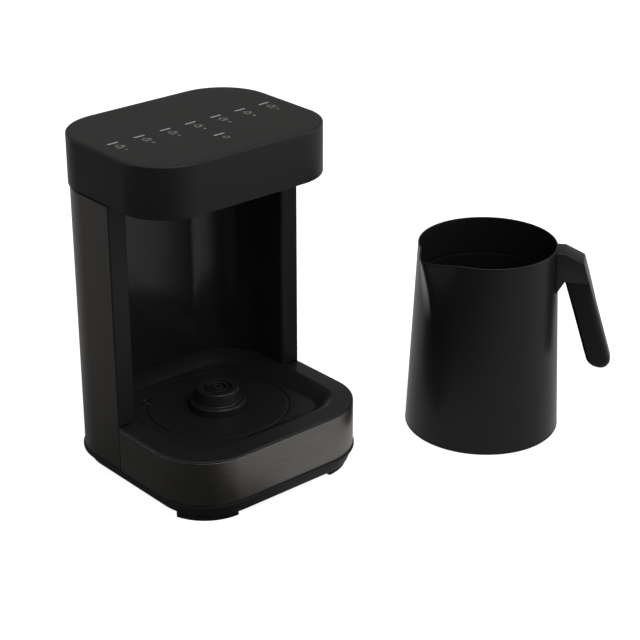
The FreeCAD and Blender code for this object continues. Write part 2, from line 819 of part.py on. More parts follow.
def base_electrics():
    """Power board on its standoffs with its parts, the terminal block and the cord gland."""
    board_z = pillar_low
    parts_z = board_z + cell.board_wall
    board = new_body("power_board")
    pad(board, lambda s: rectangle(s, -cell.power_board_half, cell.power_board_front,
                                   cell.power_board_half, cell.power_board_rear), board_z, cell.board_wall)
    pocket(board, circles(standoff_spots, cell.screw_radius), board_z, cell.board_wall)
    keep(board)

    left = cell.part_inset - cell.power_board_half
    near = cell.power_board_front + cell.part_inset
    core = box("transformer_core", (left, near, parts_z),
               (cell.transformer_width, cell.transformer_depth, cell.transformer_height))
    coil = box("transformer_coil", (left + (cell.transformer_width - cell.coil_width) / 2,
                                    near - cell.coil_overhang, parts_z + cell.heatsink_fin),
               (cell.coil_width, cell.transformer_depth + 2 * cell.coil_overhang,
                cell.transformer_height - 2 * cell.heatsink_fin))
    keep(fuse("transformer", [core, coil]))

    relay = new_body("relay")
    right = cell.power_board_half - 2 * cell.part_inset
    pad(relay, lambda s: path(s, [(right - cell.relay_width, near, 1), (right, near, 1),
                                  (right, near + cell.relay_depth, 1),
                                  (right - cell.relay_width, near + cell.relay_depth, 1)]),
        parts_z, cell.relay_height)
    keep(relay)

    spot = (right + cell.capacitor_radius, near + cell.relay_depth + 2 * cell.capacitor_radius, parts_z)
    can = rod("capacitor_can", spot, cell.capacitor_radius, cell.capacitor_height)
    sleeve = rod("capacitor_sleeve", spot, cell.capacitor_radius + cell.slack, cell.capacitor_height * 0.7)
    keep(fuse("smoothing_capacitor", [can, sleeve]))

    sink = new_body("triac_heatsink")
    fin, pitch, back = cell.heatsink_fin, cell.heatsink_pitch, cell.standoff_inset
    reach = left + cell.heatsink_width
    pad(sink, lambda s: path(s, [(left, back), (reach, back), (reach, back + fin), (left + fin, back + fin),
                                 (left + fin, back + pitch), (reach, back + pitch), (reach, back + pitch + fin),
                                 (left + fin, back + pitch + fin), (left + fin, back + 2 * pitch),
                                 (reach, back + 2 * pitch), (reach, back + 2 * pitch + fin),
                                 (left, back + 2 * pitch + fin)]), parts_z, cell.heatsink_height)
    keep(sink)

    block = box("terminal_block_body", (-cell.terminal_width / 2, terminal_front, pillar_low),
                (cell.terminal_width, cell.terminal_depth, cell.terminal_height))
    wells = [rod("terminal_block_well_%d" % i, (cell.terminal_pitch * (i - 1),
                                                terminal_front + cell.terminal_depth / 2,
                                                pillar_low + cell.terminal_height / 3), 2, cell.terminal_height)
             for i in range(3)]
    keep(cut("terminal_block", block, group("terminal_block_wells", wells)))

    gland = new_body("cord_gland")
    rear = tower_rear
    pad(gland, lambda s: circle(s, 0, cell.gland_place, cell.gland_flange), -rear - cell.gland_proud,
        cell.gland_proud, role="XZ_Plane")
    pad(gland, lambda s: circle(s, 0, cell.gland_place, cell.gland_radius), -rear,
        cell.gland_length - cell.gland_proud, role="XZ_Plane")
    pocket(gland, lambda s: circle(s, 0, cell.gland_place, cell.gland_bore), -rear - cell.gland_proud,
           cell.gland_length, role="XZ_Plane")
    keep(gland)


def harness_rear():
    """How far back the wiring runs, midway between the liner and the tower wall."""
    inner = tower_rear - cell.cover_wall - cell.slack - cell.tower_wall
    return (bay_rear + cell.liner_wall + inner) / 2


def wiring_harness():
    """Wiring from the power board, up behind the liner and forward to the touch board."""
    item = new_body("wiring_harness")
    start = cell.power_board_rear - 6
    low = pillar_low + cell.board_wall + cell.harness_radius + cell.fit
    high = head_floor + cell.bracket_flange + 5
    spine = new_sketch(item, "YZ_Plane", cell.harness_place)
    path(spine, [(start, low), (harness_rear(), low, cell.harness_bend), (harness_rear(), high, cell.harness_bend),
                 (board_rear - 6, high, cell.harness_bend),
                 (board_rear - 6, board_low - cell.fit)], closed=False)
    ring = new_sketch(item, "XZ_Plane", -start)
    circle(ring, cell.harness_place, low, cell.harness_radius)
    pipe = item.newObject("PartDesign::AdditivePipe", "wiring_harness_pipe")
    pipe.Profile = ring
    doc.recompute([spine])
    pipe.Spine = (spine, ["Edge%d" % (i + 1) for i in range(len(spine.Shape.Edges))])
    keep(item)


# Tower

def tower_cover():
    """Dark brushed steel wrap round the sides and back of the tower."""
    item = new_body("tower_cover")
    pad(item, tower_plan.draw, pan_top, cell.tower_height)
    pocket(item, tower_plan.inset(cell.cover_wall).draw, pan_top, cell.tower_height)
    pocket(item, ahead_of(cell.tower_front), pan_top, cell.tower_height)
    pocket(item, lambda s: circle(s, 0, cell.gland_place, cell.gland_radius + cell.fit),
           -cell.base_depth, cell.base_depth, role="XZ_Plane")
    keep(item)


def tower_frame():
    """Moulded tower body: a wall inside the wrap, the front faces beside the bay and screw ribs."""
    item = new_body("tower_frame")
    height = tower_top - deck_top
    wall = tower_plan.inset(cell.cover_wall + cell.slack)
    pad(item, wall.draw, deck_top, height)
    pocket(item, wall.inset(cell.tower_wall).draw, deck_top, height)
    pocket(item, ahead_of(cell.tower_front), deck_top, height)
    for side in SIDES:
        inner, outer = side * dish_half, side * (tower_half - cell.cover_wall - cell.slack)
        rear = cell.tower_front + cell.bay_front_wall
        pad(item, lambda s: path(s, [(inner, cell.tower_front, cell.bay_edge), (outer, cell.tower_front),
                                     (outer, rear), (inner, rear)]), deck_top, height)
    wall_x = tower_half - cell.cover_wall - cell.slack - cell.tower_wall + 0.4

    def ribs(sketch):
        """The four screw ribs."""
        for side in SIDES:
            for y in rib_rows:
                rectangle(sketch, side * (rib_place - cell.rib_breadth / 2), y - cell.rib_depth / 2,
                          side * wall_x, y + cell.rib_depth / 2)

    pad(item, ribs, deck_top, height)
    pocket(item, circles(rib_spots(), cell.screw_radius + cell.fit), deck_top, cell.pilot_depth)
    pocket(item, circles(rib_spots(), cell.screw_radius + cell.fit), tower_top - cell.pilot_depth, cell.pilot_depth)
    keep(item)


def tower_liner():
    """Gloss liner, the concave wall of the bay in which the pot stands."""
    item = new_body("tower_liner")
    height = tower_top - deck_top
    pad(item, bay_plan.inset(-cell.liner_wall).draw, deck_top, height)
    pocket(item, bay_plan.inset(0).draw, deck_top, height)
    pocket(item, ahead_of(cell.tower_front + cell.bay_front_wall), deck_top, height)
    keep(item)


# Head

key_spots = [(key_pitch * (i - 3), key_row) for i in range(7)] + [(0, power_key_row)]
bar_spots = ([(key_pitch * (i - 3), key_row + cell.bar_step) for i in range(7)]
             + [(0, power_key_row + cell.power_bar_step)])
post_spots = [(side * (board_half - cell.post_side_inset), y) for side in SIDES
              for y in (board_front + cell.post_inset, board_rear - cell.post_inset)]


def head_shell(label, away):
    """One half of the head's wall with the ledge that carries the top panel."""
    item = new_body(label)
    height = panel_low - tower_top
    pad(item, head_plan.draw, tower_top, height)
    pocket(item, head_plan.inset(cell.head_wall).draw, tower_top, height - cell.ledge_height)
    pocket(item, head_plan.inset(cell.ledge_width).draw, panel_low - cell.ledge_height, cell.ledge_height)
    pocket(item, away, tower_top, height)
    keep(item)


def head_base_plate():
    """Underside of the head with the sensor hole, the wiring hole and posts for the touch board."""
    item = new_body("head_base_plate")
    pad(item, head_plan.inset(cell.head_wall + cell.fit).draw, tower_top, cell.plate_wall)
    pad(item, circles(post_spots, cell.post_radius), tower_top + cell.plate_wall / 2,
        board_low - tower_top - cell.plate_wall / 2)

    def holes(sketch):
        """The sensor hole, the wiring hole and the screw holes."""
        circle(sketch, 0, cell.sensor_place, cell.lens_radius + cell.fit)
        circle(sketch, cell.harness_place, harness_rear(), cell.harness_radius + 1.5)
        circles(rib_spots(), cell.screw_radius + cell.fit)(sketch)

    pocket(item, holes, tower_top, cell.plate_wall)
    keep(item)


def head_bracket():
    """Steel frame that ties the overhanging head to the tower's ribs."""
    item = new_body("head_bracket")
    half, arm = head_half - cell.bracket_margin, cell.bracket_arm
    front, rear = cell.tower_front - cell.bracket_reach, rib_rows[1] + cell.bracket_end
    pad(item, lambda s: (rectangle(s, -half, front, half, rear),
                         rectangle(s, -(half - arm), front + arm / 2, half - arm, rear - arm / 2)),
        head_floor, cell.bracket_wall)
    pad(item, lambda s: rectangle(s, -(half - arm), front, half - arm, front + cell.bracket_wall),
        head_floor, cell.bracket_flange)
    pocket(item, circles(rib_spots(), cell.screw_radius + cell.fit), head_floor, cell.bracket_wall)
    keep(item)


def head_top_panel():
    """Matt top panel with a rounded edge and eight slots for the light guides."""
    item = new_body("head_top_panel")
    slab = pad(item, head_plan.draw, panel_low, cell.panel_height)
    top = head_top.value
    round_edges(item, slab, cell.panel_edge,
                lambda edge: all(abs(v.Point.z - top) < 0.01 for v in edge.Vertexes))
    half, wide = cell.bar_length / 2 + cell.fit, cell.bar_width / 2 + cell.fit

    def slots(sketch):
        """One slot for each light guide."""
        for x, y in bar_spots:
            rectangle(sketch, x - half, y - wide, x + half, y + wide)

    pocket(item, slots, panel_low, cell.panel_height)
    keep(item)


def touch_parts():
    """Touch board with its chip, buzzer, lamps, light guides and key springs."""
    board = new_body("touch_board")
    pad(board, lambda s: rectangle(s, -board_half, board_front, board_half, board_rear), board_low, cell.board_wall)
    keep(board)
    keep(box("control_chip", (18, -12, board_low - 1.4), (14, 14, 1.4)))
    can = rod("buzzer_can", (-30, -4, board_low - 7), 6, 7)
    keep(cut("buzzer", can, rod("buzzer_mouth", (-30, -4, board_low - 7), 1.2, 2)))
    lamps, guides, springs = [], [], []
    half, wide = cell.bar_length / 2, cell.bar_width / 2
    low = board_top + cell.led_height
    for i, (x, y) in enumerate(bar_spots):
        lamps.append(box("indicator_leds_%d" % i, (x - 1.6, y - wide, board_top),
                         (3.2, cell.bar_width, cell.led_height)))
        guides.append(box("light_guides_%d" % i, (x - half, y - wide, low),
                          (cell.bar_length, cell.bar_width, head_top - low)))
    for i, (x, y) in enumerate(key_spots):
        springs.append(tube("touch_springs_%d" % i, (x, y, board_top), cell.spring_radius,
                            cell.spring_radius - cell.spring_wall, cell.board_drop))
    keep(group("indicator_leds", lamps))
    keep(group("light_guides", guides))
    keep(group("touch_springs", springs))


def foam_sensor():
    """Sensor block above the underside and the lens through it that looks into the pot."""
    low = cell.sensor_place - 8
    keep(box("foam_sensor", (-11, low, head_floor), (22, 16, 8)))
    lens = new_body("foam_sensor_lens")
    bottom = tower_top - cell.lens_drop
    spin(lens, [(0, bottom), (cell.lens_radius, bottom, 0.8), (cell.lens_radius, head_floor), (0, head_floor)])
    keep(place(lens, 0, cell.sensor_place))


# Pot, drawn about its own axis and then placed

def in_pot(item, turn=None):
    """Place an object of the pot, and note it as a node."""
    return keep(place(item, cell.pot_x, cell.pot_y, 0, turn=turn))


pot_taper = (cell.pot_foot_radius - cell.pot_rim_radius) / cell.pot_height


def wall_radius(height):
    """Outer radius of the pot's wall at a height."""
    return cell.pot_foot_radius - pot_taper * height


def beak(name, shrink):
    """The spout as a pointed wedge that widens and reaches out towards the rim."""
    stages = []
    for i, (z, reach, half) in enumerate((
            (cell.pot_height - cell.spout_depth, wall_radius(cell.pot_height - cell.spout_depth) + 0.2,
             cell.spout_half_width / 6),
            (cell.pot_height + shrink, cell.pot_rim_radius + cell.spout_reach, cell.spout_half_width))):
        sketch = doc.addObject("Sketcher::SketchObject", "%s_%d" % (name, i))
        root = cell.pot_rim_radius - 2 * cell.spout_nose
        path(sketch, [(root, -half + shrink), (reach - shrink * 1.6, 0, cell.spout_nose / (2 - i)),
                      (root, half - shrink)])
        bind(sketch, "Placement.Base.z", z)
        stages.append(sketch)
    item = doc.addObject("Part::Loft", name)
    item.Sections = stages
    item.Solid = True
    item.Ruled = True
    return item


def cone(name, low, high, inward):
    """The pot's wall as a solid cone between two heights, a step further in."""
    item = doc.addObject("Part::Cone", name)
    bind(item, "Radius1", wall_radius(low) - inward)
    bind(item, "Radius2", wall_radius(high) - inward)
    bind(item, "Height", high - low)
    return place(item, 0, 0, low)


def pot_shell():
    """Tapered pot wall with a pinched spout, open at the bottom for the heater assembly."""
    low = cell.pot_ring_height
    outer = fuse("pot_shell_outer", [cone("pot_shell_wall", low, cell.pot_height, 0), beak("pot_beak", 0)])
    hollow = cone("pot_shell_bore", low, cell.pot_height, cell.pot_wall)
    inner = fuse("pot_shell_inner", [hollow, beak("pot_beak_bore", cell.pot_wall)])
    in_pot(cut("pot_shell", outer, inner), turn=cell.spout_angle)


def pot_base_cover():
    """Ring foot and floor of the pot with a skirt inside the wall and the hole for the connector."""
    item = new_body("pot_base_cover")
    hole = cell.boss_step_radius + cell.socket_clear
    outer = cell.pot_foot_radius
    skirt = wall_radius(cell.base_cover_skirt) - cell.pot_wall - cell.slack
    wall = cell.base_cover_wall
    spin(item, [(hole, 0), (outer, 0, cell.pot_ring_edge), (outer, cell.pot_ring_height),
                (skirt, cell.pot_ring_height), (skirt, cell.base_cover_skirt),
                (skirt - wall, cell.base_cover_skirt), (skirt - wall, wall), (hole, wall)])
    in_pot(item)


def pot_socket():
    """Female half of the connector, a stepped cup open downwards."""
    item = new_body("pot_socket")
    low = cell.base_cover_wall
    step = cell.boss_step_height + cell.socket_clear
    roof = cell.boss_height + cell.socket_clear
    spin(item, [(cell.boss_step_radius + cell.socket_clear, low), (socket_radius, low),
                (socket_radius, roof + cell.socket_roof), (0, roof + cell.socket_roof), (0, roof),
                (cell.boss_radius + cell.socket_clear, roof), (cell.boss_radius + cell.socket_clear, step),
                (cell.boss_step_radius + cell.socket_clear, step)])
    pocket(item, circles([(x, 0) for x in contact_places()], 0.7), roof, cell.socket_roof)
    pocket(item, circles(motor_ears(), cell.screw_radius + cell.fit), roof + 0.6, cell.socket_roof - 0.6)
    in_pot(item)


def contact_places():
    """Radii of the contact pins, which match the connector's rings and centre hole."""
    return (0, cell.groove_inner, -cell.groove_outer)


def pot_contacts():
    """Three contact pins that reach into the connector's rings."""
    roof = cell.boss_height + cell.socket_clear
    low = cell.boss_height - cell.groove_depth + cell.contact_height + cell.slack
    pins = [rod("pot_contacts_%d" % i, (x, 0, low), 0.6, roof + cell.socket_roof - low)
            for i, x in enumerate(contact_places())]
    in_pot(group("pot_contacts", pins))


def heater():
    """Heater plate, its seal, the tubular element under it, the sensor and the thermal fuse."""
    low = plate_low
    edge = wall_radius(pot_floor) - cell.pot_wall - cell.fit
    plate = new_body("heater_plate")
    spin(plate, [(0, low), (edge - cell.seal_breadth, low), (edge - cell.seal_breadth, pot_floor),
                 (0, pot_floor)])
    in_pot(plate)
    seal = new_body("floor_seal")
    spin(seal, [(edge - cell.seal_breadth + cell.fit, low - 1), (edge, low - 1), (edge, pot_floor + 1, 0.8),
                (edge - cell.seal_breadth + cell.fit, pot_floor + 1)])
    in_pot(seal)
    ring = doc.addObject("Part::Torus", "heating_element_ring")
    bind(ring, "Radius1", cell.element_radius)
    bind(ring, "Radius2", cell.element_tube)
    ring.Angle3 = 320.0
    place(ring, 0, 0, low - cell.element_tube - cell.fit)
    tail = rod("heating_element_tail", (cell.element_radius, 0, low - cell.element_tube * 4), 1.5,
               cell.element_tube * 3)
    in_pot(fuse("heating_element", [ring, tail]))
    probe = rod("temperature_sensor", (0, 0, 0), 3, 8 - cell.fit)
    in_pot_at(probe, 20, 12, low - 8)
    fuse_can = rod("thermal_fuse", (0, 0, 0), 2, 11, turn=90, axis=(0, 1, 0))
    in_pot_at(fuse_can, -5, 24, low - 2 - cell.fit)


def in_pot_at(item, x, y, z):
    """Place an object off the pot's axis, and note it as a node."""
    bind(item, "Placement.Base.x", cell.pot_x + x)
    bind(item, "Placement.Base.y", cell.pot_y + y)
    bind(item, "Placement.Base.z", z)
    return keep(item)


def motor_ears():
    """Centres of the motor's two screw ears."""
    return [(side * (cell.motor_radius + cell.screw_head + cell.slack), 0) for side in SIDES]


def stirrer_drive():
    """Flat motor above the socket, and the magnet carrier on its shaft under the heater plate."""
    motor = new_body("stirrer_motor")
    ear = cell.motor_radius + 2 * cell.screw_head
    pad(motor, lambda s: circle(s, 0, 0, cell.motor_radius), motor_low, cell.motor_height)
    pad(motor, lambda s: path(s, [(-ear, -3.5, 3), (ear, -3.5, 3), (ear, 3.5, 3), (-ear, 3.5, 3)]),
        motor_low, cell.motor_ear)
    pad(motor, lambda s: circle(s, 0, 0, cell.shaft_radius), motor_top, cell.carrier_height)
    pocket(motor, circles(motor_ears(), cell.screw_radius + cell.fit), motor_low, cell.motor_ear)
    in_pot(motor)
    carrier = new_body("magnet_carrier")
    pad(carrier, lambda s: circle(s, 0, 0, carrier_radius), carrier_low, cell.carrier_height)
    pocket(carrier, lambda s: circle(s, 0, 0, cell.shaft_radius + cell.fit / 2), carrier_low, cell.carrier_height)
    pit = cell.magnet_height + cell.fit
    pits = [(side * cell.magnet_place, 0) for side in SIDES]
    pocket(carrier, circles(pits, cell.magnet_radius + cell.fit), carrier_low + cell.carrier_height - pit, pit)
    in_pot(carrier)
    low = carrier_low + cell.carrier_height - cell.magnet_height
    in_pot(group("drive_magnets", [rod("drive_magnets_%d" % side, (side * cell.magnet_place, 0, low),
                                       cell.magnet_radius, cell.magnet_height) for side in SIDES]))


stirrer_low = pot_floor + cell.running + 0.5


def stirrer():
    """Spindle on the heater plate, and the lift-out stirrer with its magnet that turns on it."""
    pin = rod("stirrer_spindle", (0, 0, 0), cell.spindle_radius, cell.spindle_height)
    in_pot_at(pin, 0, 0, pot_floor)
    item = new_body("stirrer")
    bore = cell.spindle_radius + 0.08
    pad(item, lambda s: circle(s, 0, 0, cell.hub_radius + cell.magnet_radius * 2), stirrer_low,
        cell.magnet_height + 1.5)
    pad(item, lambda s: circle(s, 0, 0, cell.hub_radius), stirrer_low, cell.hub_height)
    half, wall = cell.stirrer_radius, cell.blade_wall / 2
    for draw in (lambda s: rectangle(s, -half, -wall, half, wall), lambda s: rectangle(s, -wall, -half, wall, half)):
        pad(item, draw, stirrer_low, cell.hub_height - 1)
    pocket(item, lambda s: circle(s, 0, 0, bore), stirrer_low, cell.hub_height)
    pits = [(side * magnet_ring(), 0) for side in SIDES]
    pocket(item, circles(pits, cell.magnet_radius * 0.6 + cell.fit), stirrer_low, cell.magnet_height)
    in_pot(item)
    in_pot(group("stirrer_magnet", [rod("stirrer_magnet_%d" % side, (side * magnet_ring(), 0, stirrer_low),
                                        cell.magnet_radius * 0.6, cell.magnet_height) for side in SIDES]))


def magnet_ring():
    """Radius at which the stirrer's magnets sit."""
    return cell.hub_radius + cell.magnet_radius


# Handle, drawn at azimuth zero of the pot and then turned

def outer_face(height):
    """Radius of the handle's leaning outer face at a height."""
    return cell.pot_rim_radius + cell.handle_reach + (handle_shoulder - height) * cell.handle_lean


def inner_face(height):
    """Radius of the handle's leaning inner face at a height."""
    return outer_face(height) - cell.handle_thick


def handle_slab(item, corners):
    """The handle's outline in its own plane, as a pad of the handle's width."""
    sketch = new_sketch(item, "XZ_Plane")
    path(sketch, corners)
    slab = feature(item, "Pad", sketch, cell.handle_width)
    slab.SideType = "Symmetric"
    return slab


def side_edges(dropped):
    """A choice of the edges of both side faces, without those at the heights that are dropped."""
    side = cell.handle_width.value / 2

    def wanted(edge):
        """Whether an edge is one of them."""
        middle = edge.CenterOfMass
        return abs(abs(middle.y) - side) < 0.01 and not dropped(middle)
    return wanted


def handle_grip():
    """Grip that hangs from the elbow, with rounded long edges and a rounded end."""
    item = new_body("handle_grip")
    top = handle_seam - cell.fit
    slab = handle_slab(item, [(inner_face(top), top), (inner_face(handle_bottom), handle_bottom, cell.handle_end_radius),
                              (outer_face(handle_bottom), handle_bottom, cell.handle_end_radius),
                              (outer_face(top), top)])
    round_edges(item, slab, cell.handle_edge, side_edges(lambda middle: abs(middle.z - top.value) < 0.01))
    tongue(item, "Pocket", cell.tongue_width + 2 * cell.fit, cell.fit)
    handle_holes(item, cell.screw_radius + cell.fit, cell.handle_width + cell.tongue_width / 2 - 1)
    handle_holes(item, cell.screw_head + cell.slack, cell.handle_width / 2 + cell.handle_screw_sink)
    in_pot(item, turn=cell.handle_angle)


def handle_screw_spots():
    """Radius and height of the two screws through the tongue, driven from the handle's far side."""
    heights = [handle_seam - cell.handle_screw_inset - cell.handle_screw_pitch * i for i in range(2)]
    return [(inner_face(z) + cell.tongue_inset + cell.tongue_breadth / 2, z) for z in heights]


def handle_holes(item, r, depth):
    """Holes for the handle screws, cut in from beyond the far side."""
    pocket(item, circles(handle_screw_spots(), r), -cell.handle_width, depth, role="XZ_Plane")


def tongue(item, kind, width, grow):
    """The elbow's tongue inside the grip, as a pad, or as the slot that takes it."""
    sketch = new_sketch(item, "XZ_Plane")
    low, high = handle_seam - cell.tongue_length - grow, handle_seam + 1
    near, far = cell.tongue_inset - grow, cell.tongue_inset + cell.tongue_breadth + grow
    path(sketch, [(inner_face(low) + near, low), (inner_face(low) + far, low),
                  (inner_face(high) + far, high), (inner_face(high) + near, high)])
    part = feature(item, kind, sketch, width)
    part.SideType = "Symmetric"


def handle_bracket():
    """Coated elbow from the pot's wall to the shoulder, with the tongue that carries the grip."""
    item = new_body("handle_bracket")
    inner = cell.pot_rim_radius - 1
    low = handle_top - cell.handle_root_drop
    slab = handle_slab(item, [(inner, low), (inner_face(handle_seam), handle_seam),
                              (outer_face(handle_seam), handle_seam),
                              (outer_face(handle_shoulder), handle_shoulder, cell.handle_shoulder_radius),
                              (cell.pot_rim_radius + cell.elbow_flat, handle_top, cell.elbow_flat_radius),
                              (inner, handle_top)])
    edge_low, edge_in = handle_seam.value + 1, inner.value + 1
    round_edges(item, slab, cell.elbow_edge,
                side_edges(lambda middle: middle.z < edge_low or middle.x < edge_in))
    tongue(item, "Pad", cell.tongue_width, 0)
    handle_holes(item, cell.screw_radius + cell.fit, cell.handle_width + cell.tongue_width / 2 - 1)
    below, above = low - 10, handle_top + 10
    spin(item, [(0, below), (wall_radius(below) + cell.fit, below), (wall_radius(above) + cell.fit, above),
                (0, above)], "Groove")
    in_pot(item, turn=cell.handle_angle)


def fasteners():
    """Every screw of the machine and the pot."""
    keep(screws("base_screws", pillar_spots, pan_low + cell.standoff, cell.base_screw_length))
    keep(screws("connector_screws", retainer_spots(), dish_under - cell.flange_wall - cell.retainer_wall,
                cell.connector_screw_length))
    keep(screws("tower_screws", rib_spots(), rim_under(), cell.tower_screw_length))
    keep(screws("head_screws", rib_spots(), head_floor + cell.bracket_wall, cell.tower_screw_length, turn=180))
    in_pot(screws("motor_screws", motor_ears(), motor_low + cell.motor_ear, cell.motor_ear + 2.2, turn=180))
    seat = cell.handle_width / 2 - cell.handle_screw_sink
    drive = [screw("handle_screws_%d" % i, x, seat, z, cell.handle_screw_length, turn=90)
             for i, (x, z) in enumerate(handle_screw_spots())]
    in_pot(group("handle_screws", drive), turn=cell.handle_angle)


def rim_under():
    """Underside of the deck's rim."""
    return band_top - cell.deck_wall + cell.deck_edge + cell.deck_crown / 2


base_pan()
rubber_feet()
base_band()
deck_tray()
connector_housing()
connector_contacts()
connector_retainer()
base_electrics()
wiring_harness()
tower_cover()
tower_frame()
tower_liner()
head_shell("head_front_shell", behind(cell.head_seam))
head_shell("head_rear_shell", ahead_of(cell.head_seam + cell.seam_gap))
head_base_plate()
head_bracket()
head_top_panel()
touch_parts()
foam_sensor()
pot_shell()
pot_base_cover()
pot_socket()
pot_contacts()
heater()
stirrer_drive()
stirrer()
handle_grip()
handle_bracket()
fasteners()

doc.recompute()

faults = [item.Name for item in doc.Objects if {"Invalid", "Error"} & set(item.State)]
CUTTERS = ("PartDesign::Pocket", "PartDesign::Groove", "PartDesign::SubtractiveLoft")
for item in doc.Objects:
    if item.TypeId in CUTTERS and item.Name not in faults:
        if item.Shape.isNull() or item.Shape.Volume > item.BaseFeature.Shape.Volume - 0.01:
            faults.append(item.Name + " cuts nothing")
for item in NODES:
    if item.Shape.isNull() or not item.Shape.isValid() or not item.Shape.Solids:
        faults.append(item.Label + " has no valid shape")
if faults:
    raise RuntimeError("Faults: " + ", ".join(faults))

os.makedirs("parts", exist_ok=True)
for item in NODES:
    item.Shape.exportStep("parts/%s.step" % item.Label)
print("%d nodes, %d solids" % (len(NODES), sum(len(item.Shape.Solids) for item in NODES)))
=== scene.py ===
import json
import logging
import math
from dataclasses import dataclass, field
from enum import Enum
from typing import Any, Iterable, Optional, Sequence

import bmesh
import bpy
from mathutils import Matrix, Vector


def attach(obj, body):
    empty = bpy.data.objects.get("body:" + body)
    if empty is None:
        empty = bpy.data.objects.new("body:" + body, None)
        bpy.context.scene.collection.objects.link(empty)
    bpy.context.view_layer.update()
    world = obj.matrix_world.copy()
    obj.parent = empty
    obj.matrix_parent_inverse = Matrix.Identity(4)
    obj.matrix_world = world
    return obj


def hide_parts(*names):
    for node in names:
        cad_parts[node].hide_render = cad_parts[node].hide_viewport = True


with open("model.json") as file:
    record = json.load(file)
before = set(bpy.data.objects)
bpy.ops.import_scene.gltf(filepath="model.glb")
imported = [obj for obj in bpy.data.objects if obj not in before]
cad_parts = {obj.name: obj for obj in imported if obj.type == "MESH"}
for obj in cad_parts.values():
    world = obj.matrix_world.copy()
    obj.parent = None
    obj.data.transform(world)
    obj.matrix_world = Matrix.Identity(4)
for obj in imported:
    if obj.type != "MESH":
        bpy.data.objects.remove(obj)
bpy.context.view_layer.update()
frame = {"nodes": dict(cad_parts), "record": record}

# Looks of an electric turkish coffee maker and its pot. Shapes are drawn in millimetres and made in
# metres. The origin is on the counter below the connector's axis, +Z is up and -Y is the front.

MM = 0.001
# Edges sharper than this many degrees stay crisp.
CREASE = 32.0
# Points closer than this, in metres, become one.
MERGE = 1e-7
LOG = logging.getLogger("coffee_maker")

# A station is a spot of an outline and the way outwards there. A stage is a walk of stations, a
# step outwards from it, and a height.
Spot = tuple[float, float]
Point = tuple[float, float, float]
Corner = tuple[float, ...]
Station = tuple[Spot, Spot]
Stage = tuple[Sequence[Station], float, float]
Sockets = dict[str | int, Any]


class Body(Enum):
    """The bodies of the frame that pieces ride on."""

    MACHINE = "machine"
    POT = "pot"


# Flat lines and outlines


def rounded(corners: Sequence[Corner], steps: int = 6, closed: bool = True) -> list[Spot]:
    """A line through corners, with an arc at each corner that has a radius.

    Args:
        corners: (x, y) or (x, y, radius), in millimetres.
        steps: how many straight bits each arc has.
        closed: whether the last corner joins the first.

    Returns:
        The points of the line.
    """
    spots: list[Spot] = []
    count = len(corners)
    for i, corner in enumerate(corners):
        here = Vector(corner[:2])
        end = not closed and i in (0, count - 1)
        if len(corner) < 3 or corner[2] <= 0 or end:
            spots.append((here.x, here.y))
            continue
        back = (Vector(corners[i - 1][:2]) - here).normalized()
        ahead = (Vector(corners[(i + 1) % count][:2]) - here).normalized()
        half = back.angle(ahead) / 2
        centre = here + (back + ahead).normalized() * (corner[2] / math.sin(half))
        start = here + back * (corner[2] / math.tan(half)) - centre
        finish = here + ahead * (corner[2] / math.tan(half)) - centre
        sweep_angle = start.angle_signed(finish)
        for step in range(steps + 1):
            arm = start.copy()
            arm.rotate(Matrix.Rotation(-sweep_angle * step / steps, 2))
            spots.append((centre.x + arm.x, centre.y + arm.y))
    return spots


